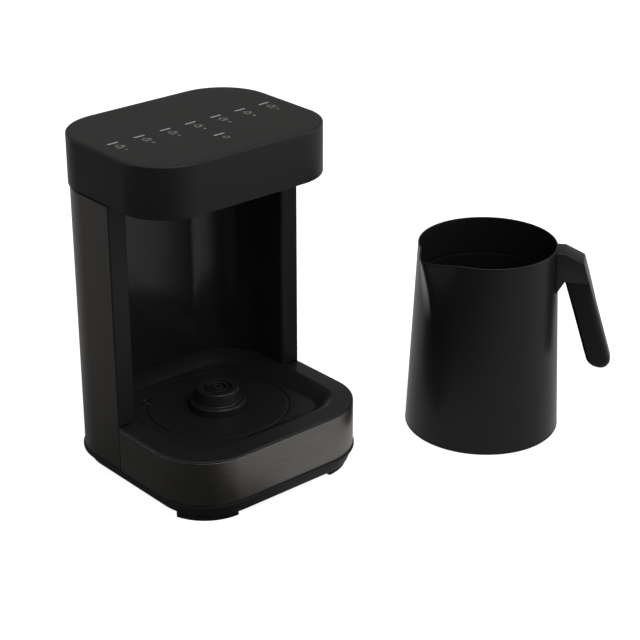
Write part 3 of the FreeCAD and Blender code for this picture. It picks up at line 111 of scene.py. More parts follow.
@dataclass(frozen=True)
class Plan:
    """A plan outline with straight sides and round corners, in millimetres.

    It is walked anticlockwise from the front right corner, and every plan has as many stations as
    any other with the same steps, so that plans of different sizes can be skinned to each other.
    """

    half: float
    front: float
    rear: float
    front_corner: float
    rear_corner: float
    steps: int = 20

    def inset(self, step: float) -> "Plan":
        """The same outline, a step further in all round."""
        return Plan(self.half - step, self.front + step, self.rear - step,
                    self.front_corner - step, self.rear_corner - step, self.steps)

    def _arc(self, side: int, rear: bool) -> list[Station]:
        """The stations of one corner.

        Args:
            side: 1 for the right side, -1 for the left.
            rear: whether it is a rear corner.

        Returns:
            The stations, in anticlockwise order.
        """
        radius = self.rear_corner if rear else self.front_corner
        middle = ((self.half - radius) * side, self.rear - radius if rear else self.front + radius)
        first = {(1, False): -90, (1, True): 0, (-1, True): 90, (-1, False): 180}[(side, rear)]
        stations = []
        for step in range(self.steps + 1):
            angle = math.radians(first + 90 * step / self.steps)
            way = (math.cos(angle), math.sin(angle))
            stations.append(((middle[0] + radius * way[0], middle[1] + radius * way[1]), way))
        return stations

    def all_round(self, breaks: Sequence[float] = ()) -> list[Station]:
        """The closed outline.

        Args:
            breaks: values of y at which both sides get an extra station.

        Returns:
            Its stations.
        """
        right = [((self.half, y), (1.0, 0.0)) for y in breaks]
        left = [((-self.half, y), (-1.0, 0.0)) for y in reversed(breaks)]
        return (self._arc(1, False) + right + self._arc(1, True)
                + self._arc(-1, True) + left + self._arc(-1, False))

    def even_round(self, breaks: Sequence[float], parts: int = 8) -> list[Station]:
        """The closed outline with each long straight run divided, so that it shades evenly.

        Args:
            breaks: values of y at which both sides get an extra station.
            parts: how many parts a straight run is divided into.

        Returns:
            Its stations.
        """
        same_way, long_run = 1e-6, 1.0
        walk = self.all_round(breaks)
        full: list[Station] = []
        for (spot, way), (ahead, way_ahead) in zip(walk, walk[1:] + walk[:1]):
            straight = math.dist(way, way_ahead) < same_way and math.dist(spot, ahead) > long_run
            for i in range(parts if straight else 1):
                full.append(((spot[0] + (ahead[0] - spot[0]) * i / parts,
                              spot[1] + (ahead[1] - spot[1]) * i / parts), way))
        return full

    def front_part(self, seam: float) -> list[Station]:
        """The open outline in front of y = seam, from the left side to the right side."""
        return ([((-self.half, seam), (-1.0, 0.0))] + self._arc(-1, False) + self._arc(1, False)
                + [((self.half, seam), (1.0, 0.0))])

    def rear_part(self, seam: float) -> list[Station]:
        """The open outline behind y = seam, from the right side to the left side."""
        return ([((self.half, seam), (1.0, 0.0))] + self._arc(1, True) + self._arc(-1, True)
                + [((-self.half, seam), (-1.0, 0.0))])


def round_walk(centre: Spot, count: int) -> list[Station]:
    """Stations of a turned piece, where the step outwards is the radius from its axis."""
    turns = [2 * math.pi * i / count for i in range(count)]
    return [(centre, (math.cos(turn), math.sin(turn))) for turn in turns]


# Meshes


class Skin:
    """A mesh under construction: rings of points that are bridged with quads."""

    def __init__(self) -> None:
        """Start with no points."""
        self.points: list[Point] = []
        self.runs: list[Spot] = []
        self.faces: list[tuple[int, ...]] = []

    def ring(self, points: Iterable[Sequence[float]], along: float = 0.0) -> list[int]:
        """Add a ring of points.

        Args:
            points: the points, in millimetres.
            along: the ring's place on the piece's run, which a brushed finish follows.

        Returns:
            The numbers of the points.
        """
        first = len(self.points)
        drop = 0.0
        last: Optional[Vector] = None
        for point in points:
            here = Vector(point)
            drop += (here - last).length if last is not None else 0.0
            last = here
            self.points.append((here.x * MM, here.y * MM, here.z * MM))
            self.runs.append((along * MM, drop * MM))
        return list(range(first, len(self.points)))

    def walked(self, walk: Sequence[Station], step: float, height: float) -> list[int]:
        """Add the ring of a walk, a step outwards from it and at a height."""
        return self.ring([(s[0] + w[0] * step, s[1] + w[1] * step, height) for s, w in walk])

    def bridge(self, one: list[int], other: list[int]) -> None:
        """Join two rings with quads.

        Args:
            one: the numbers of a ring's points.
            other: those of another ring of the same length.
        """
        for i in range(len(one)):
            j = (i + 1) % len(one)
            self.faces.append((one[i], one[j], other[j], other[i]))

    def cap(self, ring: list[int]) -> None:
        """Close a ring with one face."""
        self.faces.append(tuple(ring))

    def join(self, rings: Sequence[list[int]], around: bool = False) -> None:
        """Bridge each ring to the next one.

        Args:
            rings: the rings in order, all of equal length.
            around: whether the last is bridged to the first; both ends are capped otherwise.
        """
        for one, other in zip(rings, rings[1:]):
            self.bridge(one, other)
        if around:
            self.bridge(rings[-1], rings[0])
        else:
            self.cap(rings[0])
            self.cap(rings[-1])

    def prism(self, outline: Sequence[Spot], low: float, high: float) -> None:
        """Add a flat outline that is raised between two heights."""
        self.join([self.ring([(x, y, z) for x, y in outline]) for z in (low, high)])

    def made(self, name: str, crease: float = CREASE, closed: bool = True) -> bpy.types.Object:
        """Turn what was collected into an object.

        Args:
            name: the piece's name.
            crease: edges sharper than this many degrees stay crisp.
            closed: whether the mesh is a closed solid, whose faces are turned outwards.

        Returns:
            The new object, linked to the scene.
        """
        mesh = bpy.data.meshes.new(name)
        mesh.from_pydata(self.points, [], self.faces)
        layer = mesh.uv_layers.new(name="run")
        for loop in mesh.loops:
            layer.data[loop.index].uv = self.runs[loop.vertex_index]
        work = bmesh.new()
        work.from_mesh(mesh)
        bmesh.ops.remove_doubles(work, verts=work.verts, dist=MERGE)
        bmesh.ops.dissolve_degenerate(work, edges=work.edges, dist=MERGE)
        if closed:
            bmesh.ops.recalc_face_normals(work, faces=work.faces)
        work.to_mesh(mesh)
        work.free()
        return placed(name, mesh, crease)


def placed(name: str, mesh: bpy.types.Mesh, crease: float = CREASE) -> bpy.types.Object:
    """Link a mesh as an object at the origin, smooth except at its creases.

    Args:
        name: the piece's name.
        mesh: its mesh, in place.
        crease: edges sharper than this many degrees stay crisp.

    Returns:
        The new object.
    """
    mesh.shade_smooth()
    mesh.set_sharp_from_angle(angle=math.radians(crease))
    piece = bpy.data.objects.new(name, mesh)
    bpy.context.collection.objects.link(piece)
    return piece


def swept(name: str, walk: Sequence[Station], section: Sequence[Spot], closed_walk: bool = True,
          crease: float = CREASE) -> bpy.types.Object:
    """Carry a closed section along a walk in plan.

    Args:
        name: the piece's name.
        walk: the stations, in millimetres.
        section: the section, as (step outwards, height).
        closed_walk: whether the last station joins the first; the ends are capped otherwise.
        crease: edges sharper than this many degrees stay crisp.

    Returns:
        The new object.
    """
    skin = Skin()
    rings = []
    along = 0.0
    before = walk[0][0]
    for spot, way in walk:
        along += math.dist(spot, before)
        before = spot
        rings.append(skin.ring([(spot[0] + way[0] * step, spot[1] + way[1] * step, height)
                                for step, height in section], along))
    skin.join(rings, closed_walk)
    return skin.made(name, crease)


def turned(name: str, section: Sequence[Spot], centre: Spot = (0.0, 0.0), count: int = 96,
           crease: float = CREASE) -> bpy.types.Object:
    """Turn a closed section, given as (radius, height), about an upright axis."""
    return swept(name, round_walk(centre, count), section, True, crease)


def skinned(name: str, stages: Sequence[Stage], around: bool = False) -> bpy.types.Object:
    """Skin closed walks to each other.

    Args:
        name: the piece's name.
        stages: the walks in order, each with a step outwards and a height.
        around: whether the last is joined to the first; both ends are capped otherwise.

    Returns:
        The new object.
    """
    skin = Skin()
    skin.join([skin.walked(*stage) for stage in stages], around)
    return skin.made(name)


def upright(name: str, outline: Sequence[Spot], low: float, high: float) -> bpy.types.Object:
    """A piece that is a flat outline raised between two heights.

    Args:
        name: the piece's name.
        outline: the outline in plan, in millimetres.
        low: the lower height.
        high: the upper height.

    Returns:
        The new object.
    """
    skin = Skin()
    skin.prism(outline, low, high)
    return skin.made(name)


def soften(piece: bpy.types.Object, width: float, segments: int, angle: float) -> None:
    """Round the sharp edges of a piece and make the result its mesh.

    Args:
        piece: the piece.
        width: how far the rounding reaches, in millimetres.
        segments: how many straight bits it has.
        angle: edges sharper than this many degrees are rounded.
    """
    bevel = piece.modifiers.new("soften", "BEVEL")
    bevel.width = width * MM
    bevel.segments = segments
    bevel.limit_method = "ANGLE"
    bevel.angle_limit = math.radians(angle)
    bevel.harden_normals = False
    settle(piece)


def settle(piece: bpy.types.Object) -> None:
    """Replace a piece's mesh by what its modifiers make, and remove them.

    Args:
        piece: the piece.
    """
    seen = piece.evaluated_get(bpy.context.evaluated_depsgraph_get())
    mesh = bpy.data.meshes.new_from_object(seen)
    mesh.shade_smooth()
    mesh.set_sharp_from_angle(angle=math.radians(CREASE))
    piece.modifiers.clear()
    piece.data = mesh


# Materials


def linear(hex_colour: str) -> tuple[float, float, float, float]:
    """Turn a colour to linear values, by the curve of the sRGB standard.

    Args:
        hex_colour: the colour in sRGB, as "#rrggbb".

    Returns:
        Red, green, blue and an alpha of 1.
    """
    parts = [int(hex_colour[i:i + 2], 16) / 255 for i in (1, 3, 5)]
    red, green, blue = (c / 12.92 if c <= 0.04045 else ((c + 0.055) / 1.055) ** 2.4 for c in parts)
    return red, green, blue, 1.0


def add(tree: bpy.types.NodeTree, kind: str, sockets: Optional[Sockets] = None,
        **settings: Any) -> Any:
    """Add one node.

    Args:
        tree: the node tree.
        kind: the node's type name.
        sockets: input name or number to a value or to another node's output.
        settings: attributes of the node.

    Returns:
        The node.
    """
    item = tree.nodes.new(kind)
    for key, value in settings.items():
        setattr(item, key, value)
    for key, value in (sockets or {}).items():
        if isinstance(value, bpy.types.NodeSocket):
            tree.links.new(value, item.inputs[key])
        else:
            item.inputs[key].default_value = value
    return item


@dataclass(frozen=True)
class Finish:
    """A plain finish, the base of the others: one colour whose gloss wanders, as handling leaves.

    Its patches of different gloss have a size in millimetres, and wander is how far the roughness
    goes up and down.
    """

    name: str
    colour: str
    roughness: float
    metallic: float = 0.0
    specular: float = 0.5
    patch: float = 45.0
    wander: float = 0.04

    def material(self) -> bpy.types.Material:
        """The finish as a material, made once."""
        found = bpy.data.materials.get(self.name)
        if found is not None:
            return found
        item = bpy.data.materials.new(self.name)
        item.use_nodes = True
        tree = item.node_tree
        tree.nodes.clear()
        shader = add(tree, "ShaderNodeBsdfPrincipled", {
            "Base Color": linear(self.colour), "Roughness": self.roughness,
            "Metallic": self.metallic, "Specular IOR Level": self.specular})
        add(tree, "ShaderNodeOutputMaterial", {"Surface": shader.outputs["BSDF"]})
        place = add(tree, "ShaderNodeTexCoord").outputs["Object"]
        self.dress(tree, shader, place)
        return item

    def dress(self, tree: bpy.types.NodeTree, shader: Any, place: Any) -> None:
        """Vary the roughness in patches.

        Args:
            tree: the material's node tree.
            shader: its shader.
            place: the socket with the place on the piece.
        """
        cloud = add(tree, "ShaderNodeTexNoise", {
            "Vector": place, "Scale": 1 / (self.patch * MM), "Detail": 3.0})
        self.gloss(tree, shader, cloud.outputs[0], self.wander, (0.3, 0.7))

    def gloss(self, tree: bpy.types.NodeTree, shader: Any, noise: Any, spread: float,
              span: Spot) -> None:
        """Let the roughness follow a noise.

        Args:
            tree: the material's node tree.
            shader: its shader.
            noise: the socket with the noise.
            spread: how far the roughness goes up and down.
            span: the noise's values at which it does.
        """
        level = add(tree, "ShaderNodeMapRange", {
            "Value": noise, "From Min": span[0], "From Max": span[1],
            "To Min": self.roughness - spread, "To Max": self.roughness + spread})
        tree.links.new(level.outputs[0], shader.inputs["Roughness"])

    def emboss(self, tree: bpy.types.NodeTree, shader: Any, height: Any, depth: float,
               strength: float) -> None:
        """Raise the surface by a pattern.

        Args:
            tree: the material's node tree.
            shader: its shader.
            height: the socket with the pattern.
            depth: the most that it raises the surface, in millimetres.
            strength: how much of that shows, up to 1.
        """
        bump = add(tree, "ShaderNodeBump", {
            "Height": height, "Distance": depth * MM, "Strength": strength})
        tree.links.new(bump.outputs[0], shader.inputs["Normal"])

    def shade(self, tree: bpy.types.NodeTree, shader: Any, factor: Any, amount: float) -> None:
        """Let the colour follow a pattern.

        Args:
            tree: the material's node tree.
            shader: its shader.
            factor: the socket with the pattern.
            amount: the share by which the colour goes darker and lighter.
        """
        base = linear(self.colour)
        low = tuple(c * (1 - amount) for c in base[:3]) + (1.0,)
        high = tuple(min(1.0, c * (1 + amount)) for c in base[:3]) + (1.0,)
        mix = add(tree, "ShaderNodeMix", {0: factor, 6: low, 7: high}, data_type="RGBA")
        tree.links.new(mix.outputs[2], shader.inputs["Base Color"])


@dataclass(frozen=True)
class MouldedAbs(Finish):
    """ABS moulded in a spark-eroded tool: a fine even grain that scatters highlights."""

    patch: float = 60.0
    wander: float = 0.03
    grain: float = 0.45
    depth: float = 0.012
    relief: float = 0.5
    mottle: float = 0.12

    def dress(self, tree: bpy.types.NodeTree, shader: Any, place: Any) -> None:
        """Add the tool's grain, drawn about twice as coarse as it is so that it shows."""
        super().dress(tree, shader, place)
        grain = add(tree, "ShaderNodeTexNoise", {
            "Vector": place, "Scale": 1 / (self.grain * MM), "Detail": 2.0})
        self.emboss(tree, shader, grain.outputs[0], self.depth, self.relief)
        self.shade(tree, shader, grain.outputs[0], self.mottle)


@dataclass(frozen=True)
class PolishedAbs(Finish):
    """ABS from a mirror-polished tool: sharp reflections, with a moulded wall's slight waviness."""

    patch: float = 30.0
    wander: float = 0.03
    wave: float = 38.0
    depth: float = 0.05
    relief: float = 0.25

    def dress(self, tree: bpy.types.NodeTree, shader: Any, place: Any) -> None:
        """Add the waviness, and faint dust that dulls the gloss in patches."""
        super().dress(tree, shader, place)
        wave = add(tree, "ShaderNodeTexNoise", {
            "Vector": place, "Scale": 1 / (self.wave * MM), "Detail": 1.0})
        self.emboss(tree, shader, wave.outputs[0], self.depth, self.relief)


@dataclass(frozen=True)
class BrushedSteel(Finish):
    """Stainless strip brushed along its length: fine lines that stretch highlights across them."""

    wander: float = 0.07
    grit: float = 0.5
    stroke: float = 26.0
    anisotropy: float = 0.6
    contrast: float = 0.35
    depth: float = 0.01
    relief: float = 0.35

    def dress(self, tree: bpy.types.NodeTree, shader: Any, place: Any) -> None:
        """Draw the strokes on the piece's own run, coarser than real grit so that they show."""
        run = add(tree, "ShaderNodeUVMap", uv_map="run").outputs[0]
        stretched = add(tree, "ShaderNodeMapping", {
            "Vector": run, "Scale": (1 / (self.stroke * MM), 1 / (self.grit * MM), 1.0)})
        fine = add(tree, "ShaderNodeTexNoise", {
            "Vector": stretched.outputs[0], "Scale": 1.0, "Detail": 4.0, "Roughness": 0.7})
        self.shade(tree, shader, fine.outputs[0], self.contrast)
        self.gloss(tree, shader, fine.outputs[0], self.wander, (0.25, 0.75))
        self.emboss(tree, shader, fine.outputs[0], self.depth, self.relief)
        shader.inputs["Anisotropic"].default_value = self.anisotropy
        line = add(tree, "ShaderNodeTangent", direction_type="UV_MAP", uv_map="run")
        tree.links.new(line.outputs[0], shader.inputs["Tangent"])


@dataclass(frozen=True)
class SprayedCoat(Finish):
    """Baked coating sprayed on steel: a satin skin with a faint orange peel."""

    patch: float = 50.0
    wander: float = 0.03
    peel: float = 1.6
    depth: float = 0.012
    relief: float = 0.22
    mottle: float = 0.08

    def dress(self, tree: bpy.types.NodeTree, shader: Any, place: Any) -> None:
        """Add the orange peel, and let the colour follow it a little."""
        super().dress(tree, shader, place)
        peel = add(tree, "ShaderNodeTexNoise", {
            "Vector": place, "Scale": 1 / (self.peel * MM), "Detail": 1.5})
        self.emboss(tree, shader, peel.outputs[0], self.depth, self.relief)
        self.shade(tree, shader, peel.outputs[0], self.mottle)


@dataclass(frozen=True)
class SatinFilm(Finish):
    """Hard-coated film on the top panel: smooth, satin, and a little warm."""

    patch: float = 70.0
    wander: float = 0.02
    grain: float = 0.3
    depth: float = 0.006
    relief: float = 0.3

    def dress(self, tree: bpy.types.NodeTree, shader: Any, place: Any) -> None:
        """Add the coating's very fine grain."""
        super().dress(tree, shader, place)
        grain = add(tree, "ShaderNodeTexNoise", {
            "Vector": place, "Scale": 1 / (self.grain * MM), "Detail": 1.0})
        self.emboss(tree, shader, grain.outputs[0], self.depth, self.relief)


# Black ABS with an eroded grain: a soft grey sheen and no clear reflection.
SHELL_ABS = MouldedAbs("moulded_abs_black", "#1c1c1d", 0.44, specular=0.16)
# The same resin from a finer tool: the rim and the dish catch a tighter highlight.
DECK_ABS = MouldedAbs("moulded_abs_deck", "#1c1c1d", 0.36, specular=0.25, depth=0.006)
# The duller resin of the pan: it stays dark below the bright band.
PAN_ABS = MouldedAbs("moulded_abs_pan", "#181818", 0.5, specular=0.2)
# Mirror-polished ABS: the bay shows upright streaks of the room.
LINER_ABS = PolishedAbs("polished_abs_liner", "#1b1b1c", 0.20, specular=0.4)
# Satin film: an even, faintly warm grey that the printed keys stand out on.
PANEL_FILM = SatinFilm("satin_film_panel", "#1c1b1a", 0.42, specular=0.22)
# Brushed stainless strip: bright on its lit side, with clear lines along it.
BAND_STEEL = BrushedSteel("brushed_steel_band", "#6f6d6b", 0.34, metallic=1.0, contrast=0.7)
# Dark tinted brushed steel: finer lines of little contrast, nearly black away from the light.
WRAP_STEEL = BrushedSteel("brushed_steel_wrap", "#656360", 0.36, metallic=1.0, contrast=0.22,
                          grit=0.3)
# Sprayed coat of the pot: a satin skin with broad soft highlights.
POT_COAT = SprayedCoat("sprayed_coat_pot", "#18191a", 0.32, specular=0.19)
# The elbow's coat, a little rougher: its edges stand out from the wall.
BRACKET_COAT = SprayedCoat("sprayed_coat_bracket", "#1d1d1d", 0.36, specular=0.25)
# The grip's resin, darker than the shells: only its round edges catch light.
GRIP_ABS = MouldedAbs("moulded_abs_grip", "#0c0c0d", 0.32, specular=0.16, depth=0.008)
# Rubber: dull and sooty, with no highlight.
RUBBER = MouldedAbs("moulded_rubber", "#151515", 0.8, specular=0.25, grain=0.8)
# Silicone: smooth and soft, between rubber and plastic.
SEAL_SILICONE = Finish("moulded_silicone_seal", "#1d1c1c", 0.5)
# Zinc plate on screws: light and slightly cloudy.
ZINC = Finish("zinc_plated_steel", "#b9b9b4", 0.3, metallic=1.0)
# Drawn stainless: a clean mid grey with soft reflections.
STAINLESS = Finish("drawn_stainless_steel", "#a5a5a4", 0.28, metallic=1.0)
# Cast aluminium: paler and duller than the steel.
ALUMINIUM = Finish("cast_aluminium", "#a9aaac", 0.42, metallic=1.0)
# Flashed brass: a muted yellow that marks the contacts.
BRASS = Finish("flashed_brass_contacts", "#8f7a4c", 0.3, metallic=1.0)
# Glass-filled laminate under solder mask: a flat dark green.
LAMINATE = Finish("board_laminate", "#14401f", 0.4)
# Natural nylon: an off-white with a waxy sheen.
NYLON = Finish("white_nylon", "#d4d4cc", 0.5)
# Potted component case: a plain blue, as relays have.
BLUE_CASE = Finish("blue_component_case", "#1c3f78", 0.45)
# Epoxy chip package: a flat near-black.
BLACK_CASE = Finish("black_component_case", "#1c1c1c", 0.5)
# Polyester tape on a winding: amber and fairly dull.
WINDING = Finish("taped_winding", "#b08a2e", 0.55)
# Woven sleeve on the wiring: a dry warm grey.
JACKET = Finish("sleeved_wiring", "#6c6862", 0.7)
# Nickel plate: the brightest metal of all, nearly a mirror.
MAGNET = Finish("nickel_plated_magnet", "#c3c2bc", 0.2, metallic=1.0)
# Polished tinted window of the sensor: a dark red that looks black.
LENS = PolishedAbs("polished_lens", "#1d0710", 0.08)
# Frosted acrylic: a pale, even bar without sparkle.
LIGHT_GUIDE = Finish("frosted_light_guide", "#a9a8a6", 0.5)
# Screen-printed ink: flat pale grey lines.
PRINT_INK = Finish("printed_key_ink", "#a19f9c", 0.6)


def fit_out(piece: bpy.types.Object, finish: Finish, body: Body, slot: str,
            *nodes: str) -> bpy.types.Object:
    """Complete a piece.

    Args:
        piece: the piece.
        finish: its finish.
        body: the body that it rides on.
        slot: the record's material slot of the piece; not used.
        nodes: the frame nodes that it stands for.

    Returns:
        The piece.
    """
    piece.data.materials.clear()
    piece.data.materials.append(finish.material())
    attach(piece, body.value)
    if nodes:
        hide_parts(*nodes)
    LOG.info("%s: %d faces, %s", piece.name, len(piece.data.polygons), finish.name)
    return piece


# Sub-assemblies of the machine


@dataclass
class Base:
    """The base: pan, feet, steel band, deck with its dish, and the round connector.

    A corner pad reaches from one step to another inside the corner, its turn is the angle of its
    middle from straight ahead, and its sweep is the angle that it covers. The rim's step is its
    length and its depth. The grooves are the radii of the rings in the connector's face.
    """

    half: float = 80.0
    front: float = -77.5
    rear: float = 77.5
    corner: float = 40.0
    fit: float = 0.05
    pan_low: float = 5.0
    pan_top: float = 13.8
    pan_wall: float = 3.8
    lip: float = 2.0
    lip_proud: float = 0.8
    chamfer: float = 4.0
    front_chamfer: float = 0.8
    pad_reach: Spot = (13.8, 4.8)
    pad_turn: float = 37.0
    pad_sweep: float = 73.0
    pad_steps: int = 18
    pad_edge: float = 0.5
    side_pad_inset: float = 9.4
    side_pad_width: float = 9.0
    side_pad_run: Spot = (7.8, 37.2)
    side_pad_corner: float = 2.5
    band_top: float = 46.2
    band_wall: float = 0.8
    band_edge: float = 0.25
    band_seam: float = 6.0
    rim_seam: float = 6.6
    rim_step: Spot = (0.15, 1.5)
    deck_edge: float = 47.4
    deck_top: float = 48.5
    dish_half: float = 65.0
    dish_front: float = -62.5
    dish_rear: float = 65.5
    dish_front_corner: float = 25.0
    dish_rear_corner: float = 36.0
    dish_slope: float = 11.5
    dish_floor: float = 41.0
    bead: float = 49.8
    bead_half: float = 0.8
    bead_depth: float = 0.7
    drain: Spot = (-35.7, 35.7)
    drain_radius: float = 2.6
    boss_hole: float = 20.3
    boss_top: float = 55.5
    boss_step: float = 46.5
    boss_foot: float = 16.0
    boss_head: float = 15.0
    step_radius: float = 20.0
    flange_radius: float = 25.0
    grooves: Spot = (9.0, 5.0)
    groove_half: float = 0.8
    groove_depth: float = 4.0
    socket_radius: float = 1.8
    socket_depth: float = 8.0

    def plan(self) -> Plan:
        """The outline of the steel band."""
        return Plan(self.half, self.front, self.rear, self.corner, self.corner)

    def dish(self) -> Plan:
        """The outline of the dish at the rim."""
        return Plan(self.dish_half, self.dish_front, self.dish_rear, self.dish_front_corner,
                    self.dish_rear_corner)

    def build(self) -> None:
        """Make every piece of the base."""
        self.pan()
        self.feet()
        self.band()
        self.deck()
        self.drain_cup()
        self.connector()

    def pan(self) -> None:
        """Bottom pan with its lip below the band."""
        plan = self.plan()
        foot = Plan(self.half - self.chamfer, self.front + self.front_chamfer,
                    self.rear - self.chamfer, self.corner - self.chamfer / 2,
                    self.corner - self.chamfer)
        shelf = self.pan_top - self.lip
        walk, inner = plan.all_round(), plan.inset(self.pan_wall).all_round()
        stages = [(foot.inset(1.2).all_round(), 0.0, self.pan_low),
                  (foot.inset(0.35).all_round(), 0.0, self.pan_low + 0.3),
                  (foot.all_round(), 0.0, self.pan_low + 1.2),
                  (plan.inset(0.5).all_round(), 0.0, shelf - 0.6),
                  (walk, self.lip_proud - 0.6, shelf),
                  (walk, self.lip_proud - 0.1, shelf + 0.15),
                  (walk, self.lip_proud, shelf + 0.6),
                  (walk, self.lip_proud, self.pan_top - 0.6),
                  (walk, self.lip_proud - 0.15, self.pan_top - 0.15),
                  (walk, self.lip_proud - 0.6, self.pan_top),
                  (inner, 0.0, self.pan_top),
                  (inner, -4.0, self.pan_low + 2.2)]
        fit_out(skinned("bottom_pan", stages), PAN_ABS, Body.MACHINE, "moulded_black", "base_pan")

    def feet(self) -> None:
        """Rubber pads: curved ones under the front corners and straight ones at the sides."""
        centre = (self.half - self.corner, self.front + self.corner)
        inner, outer = (self.corner - reach for reach in self.pad_reach)
        near, far = self.side_pad_run
        skin = Skin()
        for side in (-1, 1):
            first = 270 + side * self.pad_turn - self.pad_sweep / 2
            angles = [math.radians(first + self.pad_sweep * i / self.pad_steps)
                      for i in range(self.pad_steps + 1)]
            walk = [(outer, a) for a in angles] + [(inner, a) for a in reversed(angles)]
            skin.prism([(side * centre[0] + r * math.cos(a), centre[1] + r * math.sin(a))
                        for r, a in walk], 0.0, self.pan_low)
            edge = self.half - self.side_pad_inset
            low, high = sorted((side * edge, side * (edge - self.side_pad_width)))
            corners = ((low, near), (high, near), (high, far), (low, far))
            skin.prism(rounded([(*corner, self.side_pad_corner) for corner in corners]),
                       0.0, self.pan_low)
        piece = skin.made("foot_pads")
        soften(piece, self.pad_edge, 2, 50.0)
        fit_out(piece, RUBBER, Body.MACHINE, "foot_rubber", "rubber_feet")

    def band(self) -> None:
        """Steel band bent round the front of the base."""
        low, high = self.pan_top + self.fit, self.band_top - self.fit
        section = rounded([(0.0, low, self.band_edge), (0.0, high, self.band_edge),
                           (-self.band_wall, high), (-self.band_wall, low)], 3)
        piece = swept("steel_band", self.plan().front_part(self.band_seam), section, False)
        fit_out(piece, BAND_STEEL, Body.MACHINE, "band_steel", "base_band")

    def deck(self) -> None:
        """Deck with a crowned rim, a sunken dish and the bead round the connector."""
        breaks = (self.rim_seam, self.rim_seam + self.rim_step[0])
        outer = self._with_step(self.plan().even_round(breaks))
        dish = self.dish().even_round(breaks)
        floor = self.dish().inset(self.dish_slope).even_round(breaks)
        rays = [((0.0, 0.0), tuple(Vector(spot).normalized())) for spot, _ in floor]
        crown = (self.deck_top - self.deck_edge) / (self.half - self.dish_half)
        fall = (self.deck_top - self.dish_floor) / self.dish_slope
        rim = [(-1.8, self.pan_top + 0.2), (-1.8, self.band_top), (-0.35, self.band_top),
               (-0.05, self.band_top + 0.25), (-0.05, self.deck_edge - 0.9),
               (-0.2, self.deck_edge - 0.35), (-0.6, self.deck_edge - 0.08),
               (-1.2, self.deck_edge + crown), (-1.9, self.deck_edge + 1.7 * crown)]
        brow = [(1.7, self.deck_top - 1.7 * crown), (0.9, self.deck_top - 0.9 * crown),
                (0.3, self.deck_top - 0.12), (-0.25, self.deck_top - 0.42),
                (-0.9, self.deck_top - 0.9 * fall)]
        toe = [(1.9, self.dish_floor + 1.9 * fall), (1.2, self.dish_floor + 0.75),
               (0.4, self.dish_floor + 0.2), (-0.8, self.dish_floor), (-1.6, self.dish_floor)]
        lines = ((outer, rim), (dish, brow), (floor, toe), (rays, self._floor_profile()))
        stages = [(walk, step, height) for walk, line in lines for step, height in line]
        piece = skinned("deck", stages, around=True)
        fit_out(piece, DECK_ABS, Body.MACHINE, "moulded_black", "deck_tray")

    def _floor_profile(self) -> list[Spot]:
        """The floor from the bead to the hole for the connector and back under it.

        Returns:
            Its points, as radius and height.
        """
        out, into = self.bead + self.bead_half, self.bead - self.bead_half
        floor, low, hole = self.dish_floor, self.dish_floor - self.bead_depth, self.boss_hole
        return [(out + 0.9, floor), (out + 0.2, floor), (out - 0.1, floor - 0.15),
                (out - 0.3, low), (into + 0.3, low), (into + 0.1, floor - 0.15),
                (into - 0.2, floor), (into - 0.9, floor), (hole + 1.2, floor), (hole + 0.3, floor),
                (hole, floor - 0.3), (hole, floor - 2.5), (hole + 26.0, floor - 2.6)]

    def _with_step(self, walk: list[Station]) -> list[Station]:
        """Step a walk of the rim in behind its seam, where the tower stands over it.

        Args:
            walk: the stations of the plain rim.

        Returns:
            The stations with the step.
        """
        start, depth = self.rim_seam + 0.01, self.rim_step[1]
        return [((spot[0] - way[0] * depth, spot[1] - way[1] * depth), way)
                if spot[1] > start else (spot, way) for spot, way in walk]

    def drain_cup(self) -> None:
        """Small drain in the bead, a raised ring round a dark hole."""
        r, floor = self.drain_radius, self.dish_floor
        section = [(0.0, floor - 0.6), (r - 0.3, floor - 0.6), (r, floor - 0.3), (r, floor + 0.35),
                   (r + 0.25, floor + 0.6), (r + 0.8, floor + 0.6), (r + 1.1, floor + 0.35),
                   (r + 1.15, floor - 0.75), (0.0, floor - 0.75)]
        piece = turned("drain_ring", section, self.drain, 40)
        fit_out(piece, DECK_ABS, Body.MACHINE, "moulded_black")

    def connector(self) -> None:
        """Stepped round boss with ring grooves."""
        top, step, floor = self.boss_top, self.boss_step, self.dish_floor
        low, high = floor - 5.4, floor - 2.55
        corners: list[Corner] = [
            (0.0, low), (self.flange_radius, low, 0.4), (self.flange_radius, high, 0.4),
            (self.step_radius, high), (self.step_radius, step, 1.5), (self.boss_foot, step, 0.9),
            (self.boss_head, top, 1.5)]
        for ring in self.grooves:
            out, into, deep = ring + self.groove_half, ring - self.groove_half, self.groove_depth
            corners += [(out, top, 0.25), (out, top - deep), (into, top - deep), (into, top, 0.25)]
        bottom = top - self.socket_depth
        corners += [(self.socket_radius, top, 0.3), (self.socket_radius, bottom), (0.0, bottom)]
        piece = turned("connector_boss", rounded(corners, 5), count=128, crease=40.0)
        fit_out(piece, DECK_ABS, Body.MACHINE, "moulded_black", "connector_housing")


